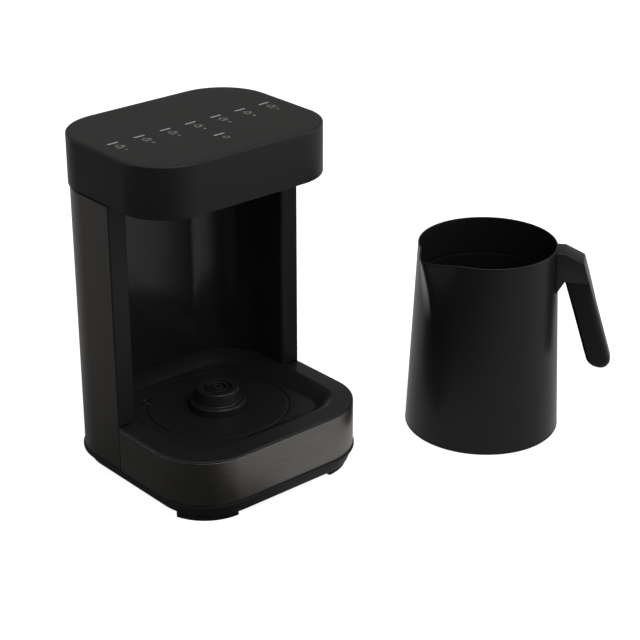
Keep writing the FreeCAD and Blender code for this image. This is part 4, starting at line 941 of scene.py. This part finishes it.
@dataclass
class Tower:
    """The tower: brushed wrap, moulded front faces and the gloss liner of the bay."""

    half: float = 79.5
    base_front: float = -77.5
    front: float = 6.8
    rear: float = 77.4
    corner: float = 39.8
    low: float = 13.8
    deck_top: float = 48.5
    top: float = 207.0
    fit: float = 0.05
    slack: float = 0.3
    wrap: float = 0.8
    wrap_start: float = 0.9
    strip_depth: float = 0.85
    strip_round: float = 0.75
    body_wall: float = 2.0
    bay_half: float = 65.0
    bay_rear: float = 65.5
    bay_corner: float = 36.0
    bay_edge: float = 2.4
    face_wall: float = 2.5
    face_lift: float = 0.02

    def plan(self) -> Plan:
        """The outline of the wrap."""
        return Plan(self.half, self.base_front, self.rear, self.corner, self.corner, 28)

    def build(self) -> None:
        """Make every piece of the tower."""
        self.cover()
        self.edge_strips()
        self.faces()
        self.liner()

    def cover(self) -> None:
        """Brushed wrap round the back and the sides."""
        low = self.low + self.fit
        section = rounded([(0.0, low), (0.0, self.top), (-self.wrap, self.top), (-self.wrap, low)])
        walk = self.plan().rear_part(self.front + self.wrap_start)
        piece = swept("steel_wrap", walk, section, False)
        fit_out(piece, WRAP_STEEL, Body.MACHINE, "wrap_steel", "tower_cover")

    def edge_strips(self) -> None:
        """Black rounded edge strips that close the wrap at the front."""
        for side, label in ((-1, "left"), (1, "right")):
            out, back = side * self.half, self.front + self.strip_depth
            inner = side * (self.half - self.wrap)
            outline = rounded([(inner, self.front), (out, self.front, self.strip_round),
                               (out, back), (inner, back)], 5)
            piece = upright("wrap_edge_" + label, outline, self.low + self.fit, self.top)
            fit_out(piece, SHELL_ABS, Body.MACHINE, "moulded_black")

    def faces(self) -> None:
        """Moulded body inside the wrap, with the rounded front faces beside the bay."""
        half, back = self.half - self.wrap - self.fit, self.front + self.face_wall
        wall = Plan(half, self.base_front, self.rear - self.wrap - self.slack, self.corner,
                    self.corner - self.wrap - self.slack, 16)
        walk = wall.rear_part(back)
        outer = [spot for spot, _ in walk]
        inner = [(spot[0] - way[0] * self.body_wall, spot[1] - way[1] * self.body_wall)
                 for spot, way in walk]
        left = rounded([(-half, back), (-half, self.front),
                        (-self.bay_half, self.front, self.bay_edge), (-self.bay_half, back)],
                       8, False)
        right = [(-x, y) for x, y in reversed(left)]
        outline = outer + left[1:] + list(reversed(inner[1:-1])) + right[:-1]
        piece = upright("tower_body", outline, self.deck_top + self.face_lift, self.top)
        fit_out(piece, SHELL_ABS, Body.MACHINE, "moulded_black", "tower_frame")

    def liner(self) -> None:
        """Concave gloss wall of the bay."""
        plan = Plan(self.bay_half, self.base_front, self.bay_rear, self.corner, self.bay_corner, 32)
        wall = self.body_wall
        section = [(0.0, self.deck_top), (0.0, self.top), (wall, self.top), (wall, self.deck_top)]
        walk = plan.rear_part(self.front + self.face_wall + self.face_lift)
        piece = swept("bay_liner", walk, section, False)
        fit_out(piece, LINER_ABS, Body.MACHINE, "gloss_black", "tower_liner")


@dataclass
class Head:
    """The head: two shells, the top panel with its light guides and the printed keys.

    The ledge that carries the panel is given by its inset and its drop. A bar is given by its
    length and its width.
    """

    half: float = 78.75
    front: float = -43.4
    rear: float = 79.4
    front_corner: float = 34.6
    rear_corner: float = 38.3
    low: float = 207.0
    low_edge: float = 0.7
    panel_low: float = 240.7
    top: float = 242.67
    fit: float = 0.05
    seam: float = -1.0
    seam_gap: float = 0.25
    wall: float = 2.2
    wall_edge: float = 0.2
    ledge: Spot = (6.0, 2.0)
    panel_edge: float = 1.2
    panel_rim: float = 4.0
    key_pitch: float = 20.95
    keys: int = 7
    bar_row: float = 21.7
    icon_row: float = 13.6
    digit_row: float = 6.2
    power_bar: float = -8.9
    power_icon: float = -16.5
    bar: Spot = (8.5, 1.6)
    bar_round: float = 0.5
    ink: float = 0.03
    cup_scale: float = 1.35
    cup_line: float = 0.42
    power_line: float = 0.45
    digit_size: float = 4.4

    def plan(self) -> Plan:
        """The outline of the head."""
        return Plan(self.half, self.front, self.rear, self.front_corner, self.rear_corner, 28)

    def build(self) -> None:
        """Make every piece of the head."""
        self.shells()
        self.panel()
        self.light_bars()
        self.printed_keys()

    def shells(self) -> None:
        """Front and rear halves of the wall, which meet in a seam at the sides."""
        inset, drop = self.ledge
        ledge, high = self.panel_low - drop, self.panel_low - self.fit
        section = rounded([(0.0, self.low, self.low_edge), (0.0, high, self.wall_edge),
                           (-inset, high), (-inset, ledge), (-self.wall, ledge),
                           (-self.wall, self.low)], 4)
        plan = self.plan()
        for label, walk in (("front", plan.front_part(self.seam)),
                            ("rear", plan.rear_part(self.seam + self.seam_gap))):
            piece = swept("head_wall_" + label, walk, section, False)
            fit_out(piece, SHELL_ABS, Body.MACHINE, "moulded_black", "head_" + label + "_shell")

    def panel(self) -> None:
        """Top panel with a rounded edge; the light guides stand up through it."""
        section = rounded([(0.0, self.panel_low), (0.0, self.top, self.panel_edge),
                           (-self.panel_rim, self.top)], 6, False)
        walk = self.plan().all_round()
        piece = skinned("top_panel", [(walk, step, height) for step, height in section])
        fit_out(piece, PANEL_FILM, Body.MACHINE, "panel_black", "head_top_panel")

    def light_bars(self) -> None:
        """Frosted ends of the light guides, one over each key, repeated by a node tree."""
        x, y = self.bar[0] / 2, self.bar[1] / 2
        outline = rounded([(*corner, self.bar_round)
                           for corner in ((-x, -y), (x, -y), (x, y), (-x, y))], 3)
        bar = upright("bar_pattern", outline, self.panel_low, self.top + self.ink)
        row = self._row("light_bars", bar, self.keys, self.bar_row, LIGHT_GUIDE)
        fit_out(row, LIGHT_GUIDE, Body.MACHINE, "guide_clear", "light_guides")
        single = self._row("power_light_bar", bar, 1, self.power_bar, LIGHT_GUIDE)
        fit_out(single, LIGHT_GUIDE, Body.MACHINE, "guide_clear")
        bpy.data.objects.remove(bar)

    def _row(self, name: str, pattern: bpy.types.Object, count: int, row: float,
             finish: Finish) -> bpy.types.Object:
        """A pattern repeated at the keys' pitch, about the middle of the panel."""
        return repeat_along_x(name, pattern, count, self.key_pitch, (0.0, row), finish)

    def printed_keys(self) -> None:
        """Printed cups over plain numbers, and a power sign, in pale ink on the panel."""
        face = self.top + self.ink
        cup = ink_sign("cup_pattern", cup_strokes(self.cup_scale), self.cup_line, face)
        power = ink_sign("power_pattern", power_strokes(), self.power_line, face)
        signs = (self._row("printed_cups", cup, self.keys, self.icon_row, PRINT_INK),
                 self._row("printed_power_sign", power, 1, self.power_icon, PRINT_INK),
                 self.digits())
        for sign in signs:
            fit_out(sign, PRINT_INK, Body.MACHINE, "guide_clear")
        for pattern in (cup, power):
            bpy.data.objects.remove(pattern)

    def digits(self) -> bpy.types.Object:
        """Plain numbers below the cups, as one flat piece."""
        work = bmesh.new()
        for i in range(self.keys):
            text = bpy.data.curves.new("digit", "FONT")
            text.body = str(i + 1)
            text.size = self.digit_size * MM
            text.align_x = "CENTER"
            text.align_y = "CENTER"
            holder = bpy.data.objects.new("digit", text)
            bpy.context.collection.objects.link(holder)
            seen = holder.evaluated_get(bpy.context.evaluated_depsgraph_get())
            mesh = bpy.data.meshes.new_from_object(seen)
            x = (i - (self.keys - 1) / 2) * self.key_pitch
            mesh.transform(Matrix.Translation((x * MM, self.digit_row * MM,
                                               (self.top + self.ink) * MM)))
            work.from_mesh(mesh)
            bpy.data.objects.remove(holder)
        mesh = bpy.data.meshes.new("printed_numbers")
        work.to_mesh(mesh)
        work.free()
        return placed("printed_numbers", mesh)


def cup_strokes(scale: float) -> list[list[Spot]]:
    """The lines of a small coffee cup on a saucer.

    Args:
        scale: how many times its drawn size it is.

    Returns:
        The lines about its middle, in millimetres.
    """
    bowl = rounded([(-1.9, 1.1), (-1.5, -1.2, 0.9), (1.1, -1.2, 0.9), (1.5, 1.1)], 5, False)
    ear = rounded([(1.45, 0.7), (2.6, 0.6, 0.5), (2.4, -0.6, 0.5), (1.25, -0.5)], 4, False)
    saucer = [(-2.3, -1.8), (1.9, -1.8)]
    steam = [(-0.2 + 0.35 * math.sin(2.6 * h), 1.7 + h) for h in (0.0, 0.4, 0.8, 1.2, 1.6)]
    return [[(x * scale, y * scale) for x, y in line]
            for line in (bowl + [bowl[0]], ear, saucer, steam)]


def power_strokes() -> list[list[Spot]]:
    """The lines of a power sign: an open ring and a bar."""
    radius = 2.0
    turns = [math.radians(degrees) for degrees in range(120, 421, 15)]
    ring = [(radius * math.cos(turn), radius * math.sin(turn)) for turn in turns]
    return [ring, [(0.0, 0.4), (0.0, 2.5)]]


def ink_sign(name: str, strokes: list[list[Spot]], width: float,
             height: float) -> bpy.types.Object:
    """Lines of ink of one width, lying flat.

    Args:
        name: the name of the sign.
        strokes: its lines, in millimetres.
        width: the width of a line in millimetres.
        height: the height of the ink's face in millimetres.

    Returns:
        The sign.
    """
    skin = Skin()
    for line in strokes:
        lefts, rights = [], []
        for i, here in enumerate(line):
            ahead = Vector(line[min(i + 1, len(line) - 1)]) - Vector(line[max(i - 1, 0)])
            side = Vector((-ahead.y, ahead.x)).normalized() * (width / 2)
            lefts.append((here[0] + side.x, here[1] + side.y))
            rights.append((here[0] - side.x, here[1] - side.y))
        for i in range(len(line) - 1):
            quad = [rights[i], rights[i + 1], lefts[i + 1], lefts[i]]
            skin.cap(skin.ring([(x, y, height) for x, y in quad]))
    return skin.made(name, closed=False)


def repeat_along_x(name: str, pattern: bpy.types.Object, count: int, pitch: float, middle: Spot,
                   finish: Finish) -> bpy.types.Object:
    """Repeat a pattern in a row along X with a node tree, and make the row one plain mesh.

    Args:
        name: the name of the row.
        pattern: the object that is repeated.
        count: how many there are.
        pitch: the distance between neighbours in millimetres.
        middle: the middle of the row in plan, in millimetres.
        finish: the finish of every copy.

    Returns:
        The row.
    """
    tree = bpy.data.node_groups.new(name + "_tree", "GeometryNodeTree")
    for label, kind in (("Geometry", "NodeSocketGeometry"), ("Pattern", "NodeSocketObject"),
                        ("Count", "NodeSocketInt"), ("Start", "NodeSocketVector"),
                        ("Step", "NodeSocketVector"), ("Finish", "NodeSocketMaterial")):
        tree.interface.new_socket(label, in_out="INPUT", socket_type=kind)
    tree.interface.new_socket("Geometry", in_out="OUTPUT", socket_type="NodeSocketGeometry")
    given = add(tree, "NodeGroupInput").outputs
    line = add(tree, "GeometryNodeMeshLine", {
        "Count": given["Count"], "Start Location": given["Start"], "Offset": given["Step"]})
    source = add(tree, "GeometryNodeObjectInfo", {"Object": given["Pattern"]})
    copies = add(tree, "GeometryNodeInstanceOnPoints", {
        "Points": line.outputs[0], "Instance": source.outputs["Geometry"]})
    real = add(tree, "GeometryNodeRealizeInstances", {0: copies.outputs[0]})
    dressed = add(tree, "GeometryNodeSetMaterial", {
        "Geometry": real.outputs[0], "Material": given["Finish"]})
    add(tree, "NodeGroupOutput", {0: dressed.outputs[0]})
    row = placed(name, bpy.data.meshes.new(name))
    modifier = row.modifiers.new("row", "NODES")
    modifier.node_group = tree
    start = (middle[0] - (count - 1) / 2 * pitch) * MM
    values = {"Pattern": pattern, "Count": count, "Start": (start, middle[1] * MM, 0.0),
              "Step": (pitch * MM, 0.0, 0.0), "Finish": finish.material()}
    for item in tree.interface.items_tree:
        if item.in_out == "INPUT" and item.name in values:
            modifier[item.identifier] = values[item.name]
    settle(row)
    return row


# Sub-assemblies of the pot


@dataclass
class Pot:
    """The pot: its wall with a pinched spout, foot ring and interior."""

    centre: Spot = (180.0, -83.0)
    foot: float = 55.8
    foot_step: float = 0.4
    rim: float = 49.3
    rim_drop: float = 0.6
    height: float = 141.0
    wall: float = 1.2
    ring_height: float = 2.6
    ring_edge: float = 1.6
    ring_hole: float = 20.8
    ring_floor: float = 2.2
    skirt_top: float = 12.0
    skirt_gap: float = 0.3
    spout_angle: float = 176.0
    spout_reach: float = 11.7
    spout_depth: float = 48.0
    spout_width: float = 25.0
    spout_root: float = 0.30
    spout_blunt: float = 0.010
    spout_rise: float = 1.55
    spout_flank: float = 1.45
    spout_crowd: float = 0.75
    floor: float = 38.0
    mark: float = 113.0
    mark_half: float = 0.6
    mark_depth: float = 0.3
    count: int = 256
    rungs: int = 44

    def build(self) -> None:
        """Make every piece of the pot that the frame's own solids don't show well."""
        self.shell()
        self.foot_ring()

    def radius(self, height: float) -> float:
        """Outer radius of the plain wall at a height."""
        return self.foot - (self.foot - self.rim) * height / self.height

    def _spout(self, angle: float, height: float) -> float:
        """How far the spout stands out of the wall.

        Args:
            angle: the angle from the spout's tip, in degrees.
            height: the height in millimetres.

        Returns:
            The distance in millimetres.
        """
        rise = (height - (self.height - self.spout_depth)) / self.spout_depth
        if rise <= 0:
            return 0.0
        width = self.spout_width * (self.spout_root + (1 - self.spout_root) * rise)
        away = math.sqrt((angle / width) ** 2 + self.spout_blunt) - math.sqrt(self.spout_blunt)
        if away >= 1:
            return 0.0
        return self.spout_reach * rise ** self.spout_rise * (1 - away) ** self.spout_flank

    def _wall_section(self) -> list[Spot]:
        """The wall's section, up its outside, over the lip and down its inside.

        Returns:
            Its points, as the step from the outer face and the height.
        """
        low, step, drop = self.ring_height + 0.1, self.foot_step, self.rim_drop
        top, into, rungs = self.height, -self.wall, self.rungs
        outer = [(0.0, low), (0.0, low + step)]
        outer += [(0.0, low + step + (top - drop - low - step) * i / rungs)
                  for i in range(1, rungs + 1)]
        lip = [(-0.06, top - 0.28), (-0.25, top - 0.06), (into / 2, top),
               (into + 0.25, top - 0.06), (into + 0.06, top - 0.28)]
        inner = [(into, top - drop - (top - drop - self.floor) * i / rungs)
                 for i in range(rungs + 1)]
        return outer + lip + self._marked(inner) + [(into, low)]

    def shell(self) -> None:
        """Wall with the spout, a rounded rim and the faint mark inside."""
        section = self._wall_section()
        skin = Skin()
        rings = []
        for i in range(self.count):
            azimuth = 360.0 * self._spread(i / self.count)
            turn = math.radians(azimuth + self.spout_angle)
            way = Vector((math.cos(turn), math.sin(turn)))
            angle = (azimuth + 180.0) % 360.0 - 180.0
            reaches = [self.radius(h) + step + self._spout(angle, h) for step, h in section]
            rings.append(skin.ring([(self.centre[0] + way.x * r, self.centre[1] + way.y * r, h)
                                    for r, (_, h) in zip(reaches, section)]))
        skin.join(rings, around=True)
        fit_out(skin.made("pot_wall", 40.0), POT_COAT, Body.POT, "pot_coat", "pot_shell")

    def _spread(self, part: float) -> float:
        """Stations set closer together at the spout."""
        return part - self.spout_crowd * math.sin(2 * math.pi * part) / (2 * math.pi)

    def _marked(self, line: list[Spot]) -> list[Spot]:
        """The inner line with a shallow groove at the fill mark.

        Args:
            line: the inner line, from the rim down.

        Returns:
            The line with the groove.
        """
        bottom, margin, deep = 0.2, 0.8, self.mark_depth - self.wall
        groove = [(-self.wall, self.mark + self.mark_half), (deep, self.mark + bottom),
                  (deep, self.mark - bottom), (-self.wall, self.mark - self.mark_half)]
        above = [spot for spot in line if spot[1] > self.mark + margin]
        below = [spot for spot in line if spot[1] < self.mark - margin]
        return above + groove + below

    def foot_ring(self) -> None:
        """Foot ring and floor cover of the pot, with the hole for the connector."""
        top, hole, floor = self.skirt_top, self.ring_hole, self.ring_floor
        skirt = self.radius(top) - self.wall - self.skirt_gap
        section = rounded([(hole, 0.0, 0.4), (self.foot, 0.0, self.ring_edge),
                           (self.foot, self.ring_height, 0.3), (skirt, self.ring_height),
                           (skirt, top, 0.4), (skirt - 2.2, top, 0.4), (skirt - 2.2, floor),
                           (hole, floor, 0.4)], 5)
        piece = turned("pot_foot_ring", section, self.centre, 160)
        fit_out(piece, PAN_ABS, Body.POT, "moulded_black", "pot_base_cover")


@dataclass
class Handle:
    """The pot's handle: a coated elbow on the wall and the moulded grip below it.

    The shoulder and the brow are corners of the elbow, as radius and height. The seam's steps
    round the top of the grip, each by how much it narrows and how far it is below the seam.
    """

    pot: Pot = field(default_factory=Pot)
    angle: float = -50.0
    width: float = 20.0
    shoulder: Spot = (68.3, 132.8)
    shoulder_radius: float = 2.0
    brow: Spot = (54.7, 139.3)
    brow_radius: float = 3.0
    chin: float = 109.0
    wall_bite: float = 1.1
    seam: float = 118.0
    seam_drop: float = 0.6
    seam_steps: tuple[Spot, ...] = ((0.05, 0.35), (0.3, 0.1))
    lean: float = 0.304
    breadth: float = 17.3
    bottom: float = 51.8
    toe: float = 8.0
    bracket_edge: float = 1.6
    end_edge: float = 4.5
    inner_edge: float = 3.6
    seam_edge: float = 2.0
    outer_edge: float = 6.6
    swell: float = 24.0
    rungs: int = 40
    arc_steps: int = 7

    def build(self) -> None:
        """Make the elbow and the grip."""
        self.bracket()
        self.grip()

    def _outer(self, height: float) -> float:
        """Radius of the leaning outer face at a height."""
        return self.shoulder[0] + (self.shoulder[1] - height) * self.lean

    def _placed(self, reach: float, side: float, height: float) -> Point:
        """A point of the handle's own plane in the frame.

        Args:
            reach: its radius from the pot's axis.
            side: its step sideways.
            height: its height.

        Returns:
            The point, in millimetres.
        """
        turn = math.radians(self.angle)
        return (self.pot.centre[0] + math.cos(turn) * reach - math.sin(turn) * side,
                self.pot.centre[1] + math.sin(turn) * reach + math.cos(turn) * side, height)

    def _section(self, height: float) -> list[Spot]:
        """The grip's section with its corners rounded.

        Args:
            height: the height that it is taken at.

        Returns:
            Its points, as radius and step sideways.
        """
        above = height - self.bottom
        toe = self._bulge(self.toe, above)
        nip = self._bulge(self.end_edge, above)
        outer, inner = self._outer(height) - toe, self._outer(height) - self.breadth + toe
        half = self.width / 2 - nip
        room = min(half, (outer - inner) / 2) - 0.05
        part = min(1.0, max(0.0, (self.seam - height) / self.swell))
        eased = part * part * (3 - 2 * part)
        front = min(self.seam_edge + (self.outer_edge - self.seam_edge) * eased, room)
        back = min(self.seam_edge + (self.inner_edge - self.seam_edge) * part, room)
        return rounded([(outer, -half, front), (outer, half, front), (inner, half, back),
                        (inner, -half, back)], self.arc_steps)

    @staticmethod
    def _bulge(radius: float, above: float) -> float:
        """How far a round lower end stands in.

        Args:
            radius: the radius of its arc.
            above: the height above the end.

        Returns:
            The distance from the side in millimetres.
        """
        if above >= radius:
            return 0.0
        return radius - math.sqrt(max(0.0, radius ** 2 - (radius - above) ** 2))

    def grip(self) -> None:
        """Grip: its long outer edges swell from the seam down, and its lower end is round."""
        run = self.seam - self.seam_drop - self.bottom - self.toe
        toe = [self.toe * (1 - math.cos(math.radians(a))) for a in range(4, 90, 7)]
        rise = [self.toe + run * i / self.rungs for i in range(self.rungs + 1)]
        skin = Skin()
        rings = [skin.ring([self._placed(r, side, self.bottom + above)
                            for r, side in self._section(self.bottom + above)])
                 for above in [0.0] + toe + rise]
        end = self._section(self.seam - self.seam_drop)
        for step, below in self.seam_steps:
            height = self.seam - below
            middle = self._outer(height) - self.breadth / 2
            slim, narrow = 1 - step / self.breadth * 2, 1 - step / self.width * 2
            spots = [(middle + (r - middle) * slim, side * narrow) for r, side in end]
            rings.append(skin.ring([self._placed(r, side, height) for r, side in spots]))
        skin.join(rings)
        fit_out(skin.made("grip"), GRIP_ABS, Body.POT, "moulded_black", "handle_grip")

    def bracket(self) -> None:
        """Elbow between the wall and the grip."""
        outer, chin, brow = self._outer(self.seam), self.chin, self.brow[1]
        corner = 0.6
        outline = rounded([(self.pot.radius(chin) - self.wall_bite, chin - 1.0),
                           (outer - self.breadth, self.seam, corner), (outer, self.seam, corner),
                           (*self.shoulder, self.shoulder_radius), (*self.brow, self.brow_radius),
                           (self.pot.radius(brow) - self.wall_bite, brow)], 6)
        skin = Skin()
        skin.join([skin.ring([self._placed(r, side, height) for r, height in outline])
                   for side in (-self.width / 2, self.width / 2)])
        piece = skin.made("grip_bracket")
        soften(piece, self.bracket_edge, 5, 60.0)
        fit_out(piece, BRACKET_COAT, Body.POT, "bracket_coat", "handle_bracket")


@dataclass
class Inside:
    """Pieces that the frame already shapes well: they only get their finish."""

    finishes: dict[str, Finish] = field(default_factory=lambda: {
        "moulded_black": SHELL_ABS, "panel_black": PANEL_FILM, "gloss_black": LINER_ABS,
        "band_steel": STAINLESS, "wrap_steel": STAINLESS, "pot_coat": POT_COAT,
        "bracket_coat": BRACKET_COAT, "foot_rubber": RUBBER, "silicone_seal": SEAL_SILICONE,
        "zinc_steel": ZINC, "stainless": STAINLESS, "heater_aluminium": ALUMINIUM,
        "contact_brass": BRASS, "board_laminate": LAMINATE, "part_white": NYLON,
        "part_blue": BLUE_CASE, "part_black": BLACK_CASE, "winding": WINDING,
        "guide_clear": LIGHT_GUIDE, "lens_dark": LENS, "wire_jacket": JACKET,
        "magnet_nickel": MAGNET})

    def build(self) -> None:
        """Dress every node of the frame by the slot that its record gives it."""
        for part in frame["record"]["subparts"]:
            item = frame["nodes"][part["node"]]
            finish = self.finishes[part["material_slot"]]
            for slot in item.material_slots:
                slot.material = finish.material()
            LOG.info("%s: %s", item.name, finish.name)


# Studio


@dataclass(frozen=True)
class Lamp:
    """One large soft lamp: its place and size in metres and its power in watts."""

    name: str
    spot: Point
    size: Spot
    power: float


@dataclass
class Studio:
    """Floor, soft lamps and the camera.

    The sides are the room's brightness to glossy surfaces, as azimuth in degrees and level.
    """

    eye: Point = (-0.69054, -0.90093, 0.62870)
    tilt: float = 65.242
    swing: float = -41.085
    lens: float = 102.255
    sensor: float = 36.0
    aim: Point = (0.05, 0.0, 0.12)
    floor_size: float = 12.0
    floor_drop: float = 0.2
    floor_glow: float = 0.9
    fill: float = 0.35
    mid_rise: float = 0.35
    mid_level: float = 0.13
    top_rise: Spot = (0.55, 0.85)
    top_level: float = 1.1
    sides: tuple[Spot, ...] = (
        (-180.0, 0.09), (-150.0, 0.07), (-128.0, 0.06), (-112.0, 0.10), (-100.0, 0.30),
        (-80.0, 0.62), (-60.0, 0.70), (-20.0, 0.65), (20.0, 0.60), (60.0, 0.80),
        (85.0, 0.70), (100.0, 0.45), (127.0, 0.22), (150.0, 0.10), (180.0, 0.09))
    lamps: tuple[Lamp, ...] = (
        Lamp("soft_right", (1.5, -1.1, 0.75), (0.9, 1.5), 9.0),
        Lamp("soft_left", (-1.6, 1.2, 0.9), (0.8, 1.4), 6.0),
        Lamp("soft_front", (-0.1, -1.1, 1.6), (1.4, 1.0), 14.0))

    def build(self) -> None:
        """Set up the world, the floor, the lamps and the camera."""
        self.world()
        self.floor()
        for lamp in self.lamps:
            self.hang(lamp)
        self.camera()

    def glow(self, tree: bpy.types.NodeTree, way: Any) -> Any:
        """How bright the room is to glossy surfaces, by the azimuth of a direction or a place.

        Args:
            tree: the node tree of the world or the floor.
            way: the direction, or the place about the object.

        Returns:
            The socket with the brightness, where 1 is white.
        """
        split = add(tree, "ShaderNodeSeparateXYZ", {0: way}).outputs
        turn = add(tree, "ShaderNodeMath", {0: split["Y"], 1: split["X"]}, operation="ARCTAN2")
        part = add(tree, "ShaderNodeMapRange", {
            "Value": turn.outputs[0], "From Min": -math.pi, "From Max": math.pi})
        ramp = add(tree, "ShaderNodeValToRGB", {0: part.outputs[0]})
        ramp.color_ramp.interpolation = "EASE"
        points = ramp.color_ramp.elements
        while len(points) < len(self.sides):
            points.new(0.5)
        for point, (azimuth, level) in zip(points, self.sides):
            point.position = azimuth / 360 + 0.5
            point.color = (level, level, level, 1.0)
        return ramp.outputs[0]

    def world(self) -> None:
        """Pale studio: white behind the object, and to glossy surfaces brighter above."""
        world = bpy.data.worlds.new("studio")
        bpy.context.scene.world = world
        world.use_nodes = True
        tree = world.node_tree
        tree.nodes.clear()
        ray = add(tree, "ShaderNodeLightPath").outputs
        way = add(tree, "ShaderNodeTexCoord").outputs["Generated"]
        rise = add(tree, "ShaderNodeSeparateXYZ", {0: way}).outputs["Z"]
        fade = add(tree, "ShaderNodeMapRange", {
            "Value": rise, "From Min": 0.0, "From Max": self.mid_rise, "To Min": 1.0,
            "To Max": self.mid_level}, interpolation_type="SMOOTHSTEP")
        side = add(tree, "ShaderNodeMath", {0: self.glow(tree, way), 1: fade.outputs[0]},
                   operation="MULTIPLY")
        over = add(tree, "ShaderNodeMapRange", {
            "Value": rise, "From Min": self.top_rise[0], "From Max": self.top_rise[1],
            "To Min": 0.0, "To Max": self.top_level}, interpolation_type="SMOOTHSTEP")
        seen = add(tree, "ShaderNodeMath", {0: side.outputs[0], 1: over.outputs[0]},
                   operation="ADD")
        white = add(tree, "ShaderNodeBackground", {"Color": linear("#ffffff"), "Strength": 1.0})
        soft = add(tree, "ShaderNodeBackground", {
            "Color": linear("#fbfbfc"), "Strength": self.fill})
        shine = add(tree, "ShaderNodeBackground", {
            "Color": linear("#fdfcfa"), "Strength": seen.outputs[0]})
        lit = add(tree, "ShaderNodeMixShader", {
            0: ray["Is Glossy Ray"], 1: soft.outputs[0], 2: shine.outputs[0]})
        mix = add(tree, "ShaderNodeMixShader", {
            0: ray["Is Camera Ray"], 1: lit.outputs[0], 2: white.outputs[0]})
        add(tree, "ShaderNodeOutputWorld", {"Surface": mix.outputs[0]})

    def floor(self) -> None:
        """White floor that keeps a faint shadow; glossy surfaces see it as bright as the room."""
        half, height = self.floor_size / 2 / MM, -self.floor_drop
        skin = Skin()
        skin.cap(skin.ring([(-half, -half, height), (half, -half, height), (half, half, height),
                            (-half, half, height)]))
        floor = skin.made("studio_floor", closed=False)
        item = bpy.data.materials.new("floor_paper")
        item.use_nodes = True
        tree = item.node_tree
        tree.nodes.clear()
        ray = add(tree, "ShaderNodeLightPath").outputs
        place = add(tree, "ShaderNodeTexCoord").outputs["Object"]
        paper = add(tree, "ShaderNodeBsdfDiffuse", {"Color": linear("#c8c8c8")})
        glow = add(tree, "ShaderNodeEmission", {
            "Color": linear("#ffffff"), "Strength": self.floor_glow})
        shine = add(tree, "ShaderNodeEmission", {
            "Color": linear("#fdfcfa"), "Strength": self.glow(tree, place)})
        lit = add(tree, "ShaderNodeAddShader", {0: paper.outputs[0], 1: glow.outputs[0]})
        unseen = add(tree, "ShaderNodeMixShader", {
            0: ray["Is Glossy Ray"], 1: paper.outputs[0], 2: shine.outputs[0]})
        mix = add(tree, "ShaderNodeMixShader", {
            0: ray["Is Camera Ray"], 1: unseen.outputs[0], 2: lit.outputs[0]})
        add(tree, "ShaderNodeOutputMaterial", {"Surface": mix.outputs[0]})
        floor.data.materials.append(item)

    def hang(self, lamp: Lamp) -> None:
        """Hang one lamp so that it faces the object.

        Args:
            lamp: the lamp.
        """
        data = bpy.data.lights.new(lamp.name, "AREA")
        data.shape = "RECTANGLE"
        data.size, data.size_y = lamp.size
        data.energy = lamp.power
        item = bpy.data.objects.new(lamp.name, data)
        item.location = lamp.spot
        ahead = Vector(self.aim) - Vector(lamp.spot)
        item.rotation_euler = ahead.to_track_quat("-Z", "Y").to_euler()
        bpy.context.collection.objects.link(item)

    def camera(self) -> None:
        """Camera at the place and with the lens that match the outlines of the photograph."""
        data = bpy.data.cameras.new("camera")
        data.sensor_width = self.sensor
        data.lens = self.lens
        item = bpy.data.objects.new("camera", data)
        item.location = self.eye
        item.rotation_euler = (math.radians(self.tilt), 0.0, math.radians(self.swing))
        bpy.context.collection.objects.link(item)
        bpy.context.scene.camera = item
        bpy.context.scene.view_settings.view_transform = "Standard"


def main() -> None:
    """Build the studio and every sub-assembly in order."""
    logging.basicConfig(level=logging.INFO, format="%(message)s")
    pot = Pot()
    builders: list[Any] = [Studio(), Inside(), Base(), Tower(), Head(), pot, Handle(pot)]
    for builder in builders:
        LOG.info("building %s", type(builder).__name__.lower())
        builder.build()


if __name__ == "__main__":
    main()
